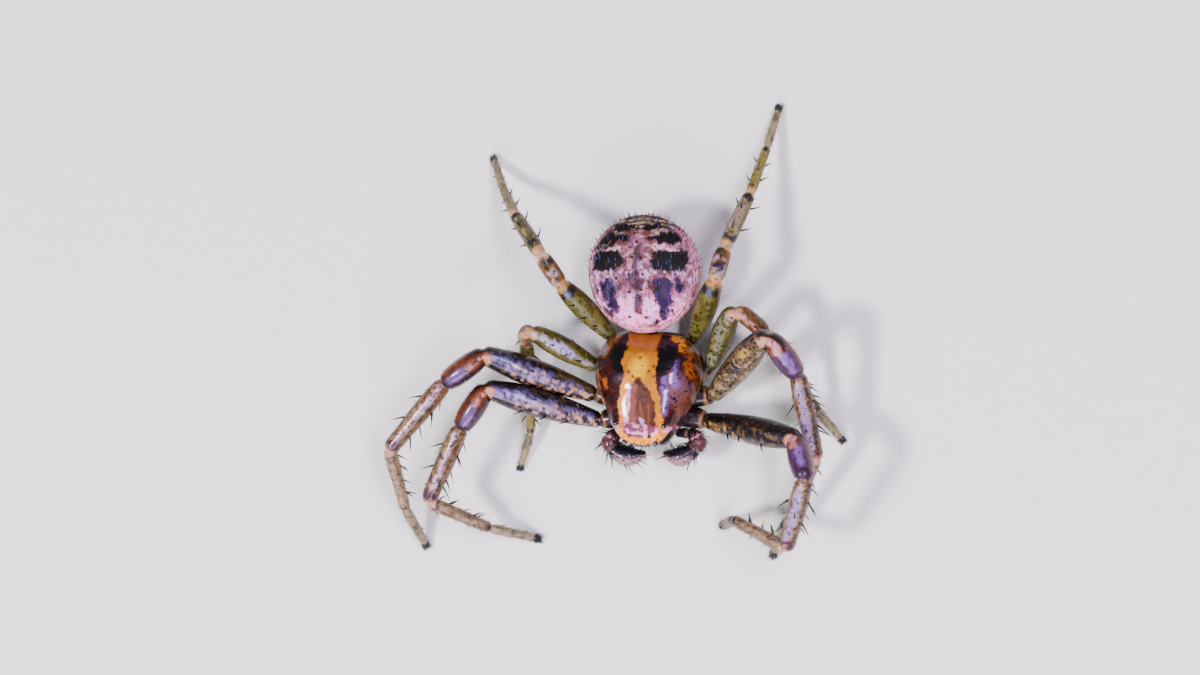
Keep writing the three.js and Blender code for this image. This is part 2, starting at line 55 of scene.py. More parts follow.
# The pedicel is an upright solid whose middle is known in both frames, so it places one in the other.
PEDICEL_MIDDLE = np.array([0.0, 1.095])
pedicel_low, pedicel_high = (np.array(corner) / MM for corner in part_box("pedicel"))
SHIFT = np.append(PEDICEL_MIDDLE - (pedicel_low + pedicel_high)[:2] / 2, 0.0)

# Camera: the photograph looks straight down the body, tipped to the spider's left.
PHOTO_TILT = np.radians(15.0)
CAMERA_DISTANCE = 130.0
PHOTO_WIDTH = 1200
PHOTO_PIXELS_PER_MM = 46.0
SENSOR_WIDTH = 36.0
PHOTO_MIDDLE = np.array([-1.124, 1.098, 1.2])

# Light: name, place, size, power and tint of each soft panel, and the world's own.
LIGHTS = (
    ("window", (78, 0, 150), (110, 20), 0.42, (0.84, 0.74, 1.0)),
    ("key", (-80, -36, 146), (30, 22), 0.42, (1.0, 0.92, 0.98)),
    ("front", (10, -160, 110), (100, 60), 0.32, (1.0, 0.97, 0.94)),
)
WORLD_TINT = (0.92, 0.94, 1.0, 1)
WORLD_STRENGTH = 0.22
FLOOR_HALF = 400.0

# Carapace, as in the solids: reach from its own middle every 20 degrees, from the front round to the rear.
CARAPACE_REACH = [1.27, 1.24, 1.1, 1.01, 1.08, 1.22, 1.34, 1.4, 1.3, 1.19]
CARAPACE_X = -0.03
CARAPACE_TURN = np.radians(-3.0)
CARAPACE_MARGIN = 1.12
CARAPACE_HEIGHT = 0.9
CARAPACE_FALL_TO_FRONT = 0.1
CARAPACE_BOXINESS = {"side": 2.3, "front": 5.0, "rear": 1.7}

ABDOMEN_MIDDLE = np.array([-0.08, 2.54, 1.36])
ABDOMEN = {"half_width": 1.235, "front": 1.34, "rear": 1.22, "top": 0.56, "bottom": 0.64, "boxiness": 2.25}
STERNUM_MIDDLE = np.array([0.0, -0.02, 0.84])
STERNUM_HALF = np.array([0.52, 0.72, 0.2])
SPINNERET_ROOT = np.array([-0.08, 3.57, 0.91])
SPINNERET_LEAN = np.radians(-45.0)
CHELICERA_ROOT = np.array([0.2, -1.06, 1.08])

# Palp: points from its root round its knee and along its swollen end, the radius at each, and its hairs.
PALP_POINTS = [[0.5, -0.98, 0.74], [0.82, -1.0, 0.81], [0.98, -1.16, 0.86], [0.87, -1.36, 0.88],
               [0.56, -1.49, 0.84], [0.2, -1.43, 0.78]]
PALP_RADII = [0.09, 0.14, 0.2, 0.17, 0.22, 0.06]
PALP_RINGS, PALP_SIDES, PALP_HAIRS = 90, 36, 420

# Legs, by pair from the head: root at the sternum, root of the femur, and segment lengths.
SEGMENTS = ["coxa", "femur", "patella", "tibia", "metatarsus", "tarsus"]
HIP_HEIGHT = 0.84
ROOT_HEIGHT = 0.9
TIP_HEIGHT = 0.1
BEND_RADIUS = 0.23
PAIRS = {
    1: ((0.3, -0.5), (1.2, -0.7), (2.58, 1.05, 1.8, 1.55, 1.15)),
    2: ((0.36, -0.18), (1.32, -0.15), (2.6, 1.1, 1.95, 1.6, 1.15)),
    3: ((0.36, 0.18), (1.27, 0.46), (1.76, 0.82, 1.17, 1.02, 0.92)),
    4: ((0.24, 0.48), (0.93, 1.12), (1.8, 0.8, 1.42, 1.18, 1.0)),
}
# Pose: heading of each segment from the femur out, and lift of each but the tarsus, which reaches the floor.
POSE = {
    "right_1": ((164, -128, -116, -30, -14), (24, -7, -11, -36)),
    "left_1": ((-10, -69, -113, 158, -164), (28, 32, -29, -26)),
    "right_2": ((159, -147, -132, -87, -72), (25, -4, -7, -34)),
    "left_2": ((37, -56, -83, -119, -120), (39, -31, -23, -21)),
    "right_3": ((148, -147, -93, -95, -112), (36, -63, -28, -17)),
    "left_3": ((56, -38, -60, -63, -56), (35, -27, -29, -26)),
    "right_4": ((127, 120, 132, 131, 120), (39, 22, -33, -48)),
    "left_4": ((59, 79, 72, 76, 78), (39, -24, -31, -27)),
}

# Radii of the skin at even steps along each segment.
FRONT_RADII = {
    "coxa": [0.2, 0.24, 0.25, 0.23, 0.19],
    "femur": [0.18, 0.26, 0.31, 0.3, 0.22],
    "patella": [0.21, 0.25, 0.265, 0.25, 0.2],
    "tibia": [0.19, 0.215, 0.21, 0.19, 0.175],
    "metatarsus": [0.145, 0.15, 0.14, 0.13, 0.125],
    "tarsus": [0.105, 0.11, 0.1, 0.09, 0.06],
}
REAR_RADII = {
    "coxa": [0.18, 0.21, 0.22, 0.2, 0.16],
    "femur": [0.15, 0.21, 0.25, 0.24, 0.18],
    "patella": [0.16, 0.185, 0.19, 0.185, 0.155],
    "tibia": [0.14, 0.16, 0.16, 0.15, 0.135],
    "metatarsus": [0.11, 0.115, 0.105, 0.1, 0.1],
    "tarsus": [0.09, 0.09, 0.085, 0.075, 0.05],
}
SKIN_STEP = 0.03
SKIN_SIDES = 40
# The skin draws in at each joint and rounds off at the tip, which is bent down a little.
JOINT_PINCH, JOINT_REACH = 0.26, 0.045
TIP_ROUNDING, TIP_END, TIP_DROP = 0.06, 1.02, 0.045

# Spines, as in the solids: turn from a segment's top to the head, places along it, length, and the one pair.
SPINE_SEED = 11
SPINE_LEAN = 42
SPINE_RADIUS = 0.023
SPINE_VARIATION = {"length": 0.15, "turn": 10, "lean": 8, "at": 0.03}
FRONT_SPINES = {
    "femur": [(-20, (0.36, 0.58), 0.3), (50, (0.3, 0.48, 0.68), 0.28, 1)],
    "tibia": [(140, (0.18, 0.37, 0.56, 0.75), 0.42), (-140, (0.14, 0.33, 0.52, 0.71), 0.42),
              (85, (0.32, 0.7), 0.3), (-80, (0.28, 0.6), 0.34)],
    "metatarsus": [(140, (0.12, 0.34, 0.56, 0.78), 0.36), (-140, (0.16, 0.38, 0.6, 0.82), 0.36),
                   (85, (0.28, 0.7), 0.22)],
}
REAR_SPINES = {
    "femur": [(10, (0.3, 0.52, 0.74), 0.3)],
    "patella": [(0, (0.6,), 0.2)],
    "tibia": [(5, (0.3, 0.68), 0.28), (110, (0.36, 0.78), 0.26), (-110, (0.36, 0.78), 0.26)],
    "metatarsus": [(100, (0.3, 0.66), 0.2), (-100, (0.3, 0.66), 0.2)],
}
# Finer hairs: how many stand on a millimetre of each segment and on a tip, and how low they may end.
HAIRS_PER_MM = {"femur": 34, "patella": 34, "tibia": 60, "metatarsus": 80, "tarsus": 130}
TIP_HAIRS = 150
LOWEST_HAIR = 0.02
NO_SAG = np.zeros(3)

# Eyes: distance from the middle line, degrees up the face from the margin, and radius.
EYES = {
    "anterior_median": (0.15, 22, 0.045),
    "anterior_lateral": (0.32, 30, 0.065),
    "posterior_median": (0.22, 50, 0.045),
    "posterior_lateral": (0.52, 50, 0.06),
}
TUBERCLE_RADIUS = 0.13


def unit(vectors):
    return vectors / np.linalg.norm(vectors, axis=-1, keepdims=True)


def smooth(share):
    """0 to 1 with soft ends, and level outside them."""
    share = np.clip(share, 0, 1)
    return share * share * (3 - 2 * share)


def curve_through(values, place):
    """A Catmull-Rom curve through values that stand at 0, 1, 2 and on."""
    values = np.asarray(values, float)
    last = len(values) - 1
    place = np.clip(np.asarray(place, float), 0, last - 1e-9)
    cell = np.floor(place).astype(int)
    share = place - cell
    if values.ndim > 1:
        share = share[..., None]
    before, start = values[np.maximum(cell - 1, 0)], values[cell]
    end, after = values[np.minimum(cell + 1, last)], values[np.minimum(cell + 2, last)]
    leave, arrive = (end - before) / 2, (after - start) / 2
    cubic = (2 * start - 2 * end + leave + arrive) * share ** 3
    return cubic + (3 * end - 3 * start - 2 * leave - arrive) * share ** 2 + leave * share + start


def along(values, fraction):
    return curve_through(values, np.asarray(fraction) * (len(values) - 1))


def noise(points, size, seed=0):
    """Smooth noise from 0 to 1 in cells of that many millimetres."""
    place = np.asarray(points) / size + 31.7 * seed
    cell = np.floor(place).astype(np.int64)
    share = smooth(place - cell)
    total = 0
    for corner in itertools.product((0, 1), repeat=place.shape[-1]):
        key = ((cell + corner) * [73856093, 19349663, 83492791][: place.shape[-1]]).sum(-1)
        key = ((key ^ (key >> 13)) * 1274126177) & 0x7FFFFFFF
        value = ((key >> 7) & 0xFFFF) / 65535
        total = total + value * np.where(corner, share, 1 - share).prod(-1)
    return total


def colour(code):
    """Linear red, green and blue of a screen colour."""
    values = np.array([code >> 16, (code >> 8) & 255, code & 255]) / 255
    return np.where(values <= 0.04045, values / 12.92, ((values + 0.055) / 1.055) ** 2.4)


def over(base, code, share):
    """A colour laid over others by a share from 0 to 1."""
    share = np.clip(share, 0, 1)[..., None]
    return base * (1 - share) + colour(code) * share


def bar(places, row, soft):
    """1 on a bar of a plane and 0 off it: x and y of both its ends and half its width, in hundredths."""
    start, end, width = np.array(row[:2]) / 100, np.array(row[2:4]) / 100, row[4] / 100
    line = end - start
    share = np.clip((places - start) @ line / (line @ line), 0, 1)
    distance = np.linalg.norm(places - start - share[..., None] * line, axis=-1)
    return smooth((width + soft - distance) / (2 * soft))


def spot(places, row, soft):
    """1 on a spot of a plane and 0 off it: x, y and radius, in hundredths."""
    distance = np.linalg.norm(places - np.array(row[:2]) / 100, axis=-1)
    return smooth((row[2] / 100 + soft - distance) / (2 * soft))


def blotches(points, size, seed, level, soft):
    """1 in the patches where noise passes a level, with soft edges."""
    return smooth((noise(points, size, seed) - level) / soft)


def shaken(points, *shakes):
    """Places of points in plan, moved by noises: the size, the reach and the two seeds of each."""
    places = points[..., :2]
    for size, reach, seeds in shakes:
        places = places + reach * (np.stack([noise(points, size, seed) for seed in seeds], -1) - 0.5)
    return places


class Paint:
    """A ground colour on points, with more colours laid over it."""

    def __init__(self, code, points):
        self.tint = np.broadcast_to(colour(code), points.shape)

    def lay(self, code, share):
        self.tint = over(self.tint, code, share)

    def lay_bars(self, places, marks, share=1.0):
        """Lays marks: a colour, its share and how soft it is, in hundredths, and bars."""
        for code, strength, soft, *rows in marks:
            for row in rows:
                self.lay(code, share * strength / 100 * bar(places, row, soft / 100))


def flecked(tint, dense):
    """The colour of flecks over a skin, with how dense they are as its alpha."""
    return np.concatenate([np.broadcast_to(tint, (*dense.shape, 3)), dense[..., None]], -1)


def round_turns(count):
    """Even turns round a circle, in radians."""
    return np.arange(count) * 2 * np.pi / count


def ways_round(side, top, turns):
    """Ways out from lines, by the side and the top of each and the turns round it."""
    return side[:, None] * np.cos(turns)[:, None] + top[:, None] * np.sin(turns)[:, None]


def boxed(rise, boxiness):
    """Cosine and sine of a rise in degrees, pushed out towards a box."""
    sine = np.sin(np.radians(rise))
    across = np.maximum(0, np.cos(np.radians(rise))) ** (2 / boxiness)
    return across, np.sign(sine) * np.abs(sine) ** (2 / boxiness)


def carapace_point(angle, rise):
    """A point of the carapace in its own frame."""
    angle = np.asarray(angle, float)
    from_front = np.abs((np.degrees(angle) + 270) % 360 - 180) / 20
    sine = np.sin(angle)
    side, front, rear = (CARAPACE_BOXINESS[key] for key in ("side", "front", "rear"))
    ahead = sine < 0
    share = np.where(ahead, np.abs(sine) ** 1.5, np.abs(sine) ** 3)
    across, up = boxed(rise, side + (np.where(ahead, front, rear) - side) * share)
    reach = curve_through(CARAPACE_REACH, from_front) * across
    x, y = reach * np.cos(angle), reach * sine
    height = CARAPACE_HEIGHT - CARAPACE_FALL_TO_FRONT * np.maximum(0, 0.3 - y)
    return np.stack([x, y, CARAPACE_MARGIN + height * up], -1)


def carapace_placed(points):
    """Points of the carapace's own frame in the model frame."""
    cosine, sine = np.cos(CARAPACE_TURN), np.sin(CARAPACE_TURN)
    x = points[..., 0] * cosine - points[..., 1] * sine + CARAPACE_X
    return np.stack([x, points[..., 0] * sine + points[..., 1] * cosine, points[..., 2]], -1)


def abdomen_point(angle, rise):
    """A point of the abdomen, from its middle."""
    across, up = boxed(rise, ABDOMEN["boxiness"])
    sine = np.sin(angle)
    y = np.where(sine < 0, ABDOMEN["front"], ABDOMEN["rear"]) * across * sine
    height = np.where(up < 0, ABDOMEN["bottom"], ABDOMEN["top"])
    return np.stack([ABDOMEN["half_width"] * across * np.cos(angle), y, height * up], -1)


def loft(rings):
    """Vertices and faces of a closed skin over rings of points, with a fan over each end."""
    rows, columns = rings.shape[:2]
    index = np.arange(rows * columns).reshape(rows, columns)
    following = np.roll(index, -1, axis=1)
    sides = np.stack([index[:-1], following[:-1], following[1:], index[1:]], -1).reshape(-1, 4)
    first = np.stack([following[0], index[0], np.full(columns, rows * columns)], -1)
    last = np.stack([index[-1], following[-1], np.full(columns, rows * columns + 1)], -1)
    vertices = np.concatenate([rings.reshape(-1, 3), rings[:1].mean(1), rings[-1:].mean(1)])
    return vertices, [sides, first, last]


def with_ends(values):
    """Values of rings in the order of the vertices that loft makes."""
    flat = values.reshape(-1, values.shape[-1])
    return np.concatenate([flat, values[:1].mean(1), values[-1:].mean(1)])


def joined(shapes):
    """Several shapes of vertices and faces as one."""
    vertices, faces, count = [], [], 0
    for points, lists in shapes:
        vertices.append(points)
        faces += [each + count for each in lists]
        count += len(points)
    return np.concatenate(vertices), faces


def mesh_object(name, shape, material, slot, tint=None, fleck=None, uv=None):
    """A smooth mesh that rides on the body, from vertices in model millimetres and arrays of faces."""
    vertices, faces = shape
    mesh = bpy.data.meshes.new(name)
    mesh.vertices.add(len(vertices))
    mesh.vertices.foreach_set("co", ((vertices - SHIFT) * MM).ravel())
    corners = np.concatenate([each.ravel() for each in faces])
    counts = np.concatenate([np.full(len(each), each.shape[1]) for each in faces])
    mesh.loops.add(len(corners))
    mesh.loops.foreach_set("vertex_index", corners)
    mesh.polygons.add(len(counts))
    mesh.polygons.foreach_set("loop_start", np.concatenate([[0], np.cumsum(counts)[:-1]]))
    mesh.polygons.foreach_set("use_smooth", np.ones(len(counts), bool))
    for key, values in (("tint", tint), ("fleck", fleck)):
        if values is None:
            continue
        if values.shape[-1] == 3:
            values = np.concatenate([values, np.ones((len(values), 1))], 1)
        mesh.attributes.new(key, "FLOAT_COLOR", "POINT").data.foreach_set("color", values.ravel())
    if uv is not None:
        mesh.uv_layers.new(name="OFBake").data.foreach_set("uv", uv[corners].ravel())
    mesh.update(calc_edges=True)
    mesh.validate()
    made = bpy.data.objects.new(name, mesh)
    bpy.context.scene.collection.objects.link(made)
    mesh.materials.append(material)
    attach(made, "root")
    return made


class Nodes:
    """A material's nodes, added one at a time."""

    def __init__(self, name):
        self.material = bpy.data.materials.new(name)
        self.material.use_nodes = True
        self.tree = self.material.node_tree
        self.shader = self.tree.nodes["Principled BSDF"]

    def add(self, kind, inputs=(), **settings):
        node = self.tree.nodes.new(kind)
        for key, value in settings.items():
            setattr(node, key, value)
        for key, value in dict(inputs).items():
            self.put(node, key, value)
        return node

    def put(self, node, key, value):
        if isinstance(value, bpy.types.NodeSocket):
            self.tree.links.new(value, node.inputs[key])
        else:
            node.inputs[key].default_value = value

    def noise(self, size, detail=3.0):
        """Noise of that size in millimetres over the piece's own coordinates."""
        place = self.add("ShaderNodeTexCoord").outputs["Object"]
        inputs = {"Vector": place, "Scale": 1 / (size * MM), "Detail": detail, "Roughness": 0.6}
        return self.add("ShaderNodeTexNoise", inputs).outputs["Fac"]

    def scaled(self, value, factor, plus, clamp=False):
        inputs = {0: value, 1: factor, 2: plus}
        return self.add("ShaderNodeMath", inputs, operation="MULTIPLY_ADD", use_clamp=clamp).outputs[0]

    def mixed(self, share, first, second, blend="MIX"):
        node = self.add("ShaderNodeMix", data_type="RGBA", blend_type=blend)
        self.put(node, 0, share)
        self.put(node, 6, first)
        self.put(node, 7, second)
        return node.outputs[2]

    def finished(self, inputs):
        """The material, with these inputs of its shader."""
        for key, value in inputs.items():
            self.put(self.shader, key, value)
        return self.material


# Deepens the painted colours, which the renderer's view would make pale.
DEPTH = 1.22
# Skins: size of the flecks, grain, bump, roughness, coat, shine, glow from under it, and tone of the shine.
MAUVE, ROSE, PLAIN = (0.8, 0.7, 1.0, 1), (0.85, 0.75, 1.0, 1), (1, 1, 1, 1)
SKINS = {
    "front_leg_skin": (0.07, 0.035, 0.006, 0.4, 0.3, 0.35, 0.0, MAUVE),
    "rear_leg_skin": (0.07, 0.035, 0.005, 0.45, 0.15, 0.3, 0.1, PLAIN),
    "carapace_shell": (0.07, 0.05, 0.008, 0.4, 0.6, 0.15, 0.0, ROSE),
    "abdomen_skin": (0.05, 0.03, 0.009, 0.6, 0.0, 0.15, 0.05, PLAIN),
    "palp_skin": (0.06, 0.03, 0.006, 0.4, 0.3, 0.3, 0.0, MAUVE),
    "underside_skin": (0.09, 0.04, 0.006, 0.45, 0.0, 0.3, 0.0, PLAIN),
    "eye_lens": (0.02, 0.02, 0.0, 0.2, 1.0, 0.5, 0.0, PLAIN),
}


def skin_material(name, fleck_size, grain, bump, roughness, coat, shine, glow, tone):
    """Painted tint, with flecks of the second painted colour as dense as its alpha says, and a fine grain."""
    made = Nodes(name)
    tint = made.add("ShaderNodeAttribute", attribute_name="tint").outputs["Color"]
    fleck = made.add("ShaderNodeAttribute", attribute_name="fleck")
    density = made.scaled(fleck.outputs["Alpha"], 8.0, -11.5)
    flecks = made.scaled(made.noise(fleck_size, 2.0), 16.0, density, clamp=True)
    painted = made.mixed(flecks, tint, fleck.outputs["Color"])
    shade = made.scaled(made.noise(3 * grain), 0.9, 0.55)
    deep = made.add("ShaderNodeGamma", {"Color": painted, "Gamma": DEPTH}).outputs["Color"]
    inputs = {"Color": deep, "Value": shade, "Saturation": 1.08}
    varied = made.add("ShaderNodeHueSaturation", inputs).outputs["Color"]
    rough = made.scaled(made.noise(2 * grain), 0.4, roughness - 0.2)
    inputs = {"Height": made.noise(grain, 4.0), "Distance": bump * MM, "Strength": 1.0}
    bumped = made.add("ShaderNodeBump", inputs).outputs["Normal"]
    return made.finished({"Base Color": varied, "Roughness": rough, "Normal": bumped, "Coat Weight": coat,
                          "Coat Roughness": 0.1, "Specular IOR Level": shine, "Specular Tint": tone,
                          "Subsurface Weight": glow, "Subsurface Scale": 0.1 * MM})


def hair_material(name):
    """Painted tint with light and dark stretches."""
    made = Nodes(name)
    tint = made.add("ShaderNodeAttribute", attribute_name="tint").outputs["Color"]
    shade = made.scaled(made.noise(0.05), 1.0, 0.5)
    varied = made.add("ShaderNodeHueSaturation", {"Color": tint, "Value": shade}).outputs["Color"]
    return made.finished({"Base Color": varied, "Roughness": 0.4})


HAIR_SIDES = 4
# Rings of a hair: place along it, width, and reach on the map of its root's patch.
HAIR_RINGS = ((-0.12, 1.0, 1.0), (0.3, 0.8, 0.8), (0.68, 0.45, 0.4))


def hairs(roots, ways, lengths, radii, sags):
    """Curved tapered hairs, each of three rings and a point, closed below."""
    count = len(roots)
    ways = unit(ways)
    side = unit(np.cross(ways, np.where(np.abs(ways[:, 2:]) < 0.9, UP, [1.0, 0.0, 0.0])))
    out = ways_round(side, np.cross(ways, side), round_turns(HAIR_SIDES))
    rings = []
    for share, width, _ in HAIR_RINGS:
        middle = roots + ways * (lengths * share)[:, None] + sags * (lengths * share * abs(share))[:, None]
        rings.append(middle[:, None] + out * (radii * width)[:, None, None])
    points = np.concatenate([*rings, (roots + (ways + sags) * lengths[:, None])[:, None]], 1)
    each = points.shape[1]
    corner = np.arange(HAIR_SIDES)
    following = (corner + 1) % HAIR_SIDES
    quad = np.stack([corner, following, following + HAIR_SIDES, corner + HAIR_SIDES], -1)
    tip = np.stack([corner + 2 * HAIR_SIDES, following + 2 * HAIR_SIDES, np.full(HAIR_SIDES, each - 1)], -1)
    foot = np.stack([np.zeros(HAIR_SIDES - 2, int), corner[2:], corner[1:-1]], -1)
    start = (np.arange(count) * each)[:, None, None]
    quads = np.concatenate([quad, quad + HAIR_SIDES])
    faces = [(start + quads).reshape(-1, 4), (start + tip).reshape(-1, 3), (start + foot).reshape(-1, 3)]
    return points.reshape(-1, 3), faces


def hair_uv(places):
    """A patch of the map, 0.003 across, at each hair's root."""
    turns = round_turns(HAIR_SIDES)
    ring = 0.0015 * np.stack([np.cos(turns), np.sin(turns)], -1)
    patch = np.concatenate([*(reach * ring for _, _, reach in HAIR_RINGS), np.zeros((1, 2))])
    return (np.clip(places, 0.002, 0.998)[:, None] + patch).reshape(-1, 2)


def coat(name, slot, material, rows):
    """One piece of many hairs: the root, way, length, radius, colour, place on the map and sag of each."""
    roots, ways, lengths, radii, tints, places, sags = (np.array(each) for each in zip(*rows))
    shape = hairs(roots, ways, lengths, radii, sags)
    tint = np.repeat(tints, len(shape[0]) // len(roots), axis=0)
    return mesh_object(name, shape, material, slot, tint=tint, uv=hair_uv(places))


def half_turn(corners, i):
    """Half the angle by which a line through corners turns at one of them."""
    if i in (0, len(corners) - 1):
        return 0.0
    before, after = unit(corners[i] - corners[i - 1]), unit(corners[i + 1] - corners[i])
    return np.arccos(np.clip(before @ after, -1, 1)) / 2


def leg_corners(name):
    """Corners of a leg's middle line, pushed out so that its bends pass through the joints."""
    hip, root, lengths = PAIRS[int(name[-1])]
    sign = -1 if name.startswith("right") else 1
    joints = [np.array([sign * hip[0], hip[1], HIP_HEIGHT]), np.array([sign * root[0], root[1], ROOT_HEIGHT])]
    heading, lift = POSE[name]
    for i, length in enumerate(lengths):
        last = joints[-1]
        rise = np.radians(lift[i]) if i < len(lift) else np.arcsin((TIP_HEIGHT - last[2]) / length)
        turn = np.radians(heading[i])
        way = [np.cos(rise) * np.cos(turn), np.cos(rise) * np.sin(turn), np.sin(rise)]
        joints.append(last + length * np.array(way))
    corners = [joints[0]]
    for i in range(1, len(joints) - 1):
        outward = unit(joints[i] - joints[i - 1]) - unit(joints[i + 1] - joints[i])
        half = np.arcsin(np.linalg.norm(outward) / 2)
        corners.append(joints[i] + unit(outward) * BEND_RADIUS * (1 / np.cos(half) - 1))
    return corners + [joints[-1]]


def segment_line(corners, i, fractions):
    """Points and directions along a segment: half a bend, a straight stretch and half a bend."""
    way = unit(corners[i + 1] - corners[i])
    first, last = half_turn(corners, i), half_turn(corners, i + 1)
    start = corners[i] + way * BEND_RADIUS * np.tan(first)
    end = corners[i + 1] - way * BEND_RADIUS * np.tan(last)
    straight = np.linalg.norm(end - start)
    length = straight + BEND_RADIUS * (first + last)
    points, ways = [], []
    for distance in np.asarray(fractions) * length:
        past = distance - BEND_RADIUS * first
        if past < 0:
            sign, foot, turn = -1, start, -past / BEND_RADIUS
            beyond = unit(corners[i] - corners[i - 1])
        elif last > 0 and past > straight:
            sign, foot, turn = 1, end, (past - straight) / BEND_RADIUS
            beyond = unit(corners[i + 2] - corners[i + 1])
        else:
            points.append(start + way * past)
            ways.append(way)
            continue
        inward = sign * unit(beyond - way * (beyond @ way))
        points.append(foot + BEND_RADIUS * (inward * (1 - np.cos(turn)) + sign * way * np.sin(turn)))
        ways.append(way * np.cos(turn) + sign * inward * np.sin(turn))
    return np.array(points), np.array(ways), length


def frames(ways):
    """The side and the top of a line at each of its directions."""
    side = unit(np.cross(UP, ways))
    return side, np.cross(ways, side)


class Leg:
    """A leg's middle line and sizes, one segment at a time."""

    def __init__(self, name):
        self.name = name
        self.pair = int(name[-1])
        self.front = self.pair < 3
        self.towards_head = 1 if name.startswith("right") else -1
        self.corners = leg_corners(name)
        self.radii = FRONT_RADII if self.front else REAR_RADII

    def surface(self, segment, fractions, turns):
        """Points of the skin, ways out and ways along, by places along a segment and turns from its top."""
        points, ways, length = segment_line(self.corners, SEGMENTS.index(segment), fractions)
        side, top = frames(ways)
        radius = along(self.radii[segment], fractions)
        for joint, distance in ((0, fractions * length), (1, (1 - fractions) * length)):
            if (segment, joint) not in (("coxa", 0), ("tarsus", 1)):
                radius = radius * (1 - JOINT_PINCH * np.exp(-((distance / JOINT_REACH) ** 2)))
        if segment == "tarsus":
            radius = radius * np.sqrt(np.clip((TIP_END - fractions) / TIP_ROUNDING, 0.02, 1))
            points = points - UP * TIP_DROP * smooth(fractions)[:, None]
        if turns.ndim > 1:
            points, ways, side, top, radius = (each[:, None] for each in (points, ways, side, top, radius))
        outward = side * np.sin(turns)[..., None] * self.towards_head + top * np.cos(turns)[..., None]
        return points + outward * radius[..., None], outward, ways


# Colours of the legs' segments: ground, flecks and how dense they are.
FRONT_PAINT = {
    "coxa": (0x180E08, 0x6A4A30, 0.25), "femur": (0x09080A, 0x7A6248, 0.2),
    "patella": (0x6E3A04, 0x2A1006, 0.12), "tibia": (0x785E3E, 0x2A1A12, 0.28),
    "metatarsus": (0x88745A, 0x2A201A, 0.22), "tarsus": (0x94866E, 0x4A3E30, 0.12),
}
REAR_PAINT = {
    "coxa": (0x2E2410, 0x0E0A04, 0.3), "femur": (0x56501E, 0x0C0A04, 0.2),
    "patella": (0x76582E, 0x1C120A, 0.22), "tibia": (0x6E6630, 0x161206, 0.2),
    "metatarsus": (0x847A48, 0x241E10, 0.18), "tarsus": (0x94896A, 0x40382A, 0.12),
}
OWN_FLECKS = {("left_1", "femur"): (0x7A6438, 0.18), ("left_2", "femur"): (0x0C0806, 0.38),
              ("left_3", "femur"): (0x0C0A06, 0.3)}
RIGHT_FRONT, LEFT_FRONT = "right_1 right_2", "left_1 left_2"
THIRD, FOURTH = "right_3 left_3", "right_4 left_4"
FRONT_LEGS, REAR_LEGS = f"{RIGHT_FRONT} {LEFT_FRONT}", f"{THIRD} {FOURTH}"
ALL_LEGS = f"{FRONT_LEGS} {REAR_LEGS}"
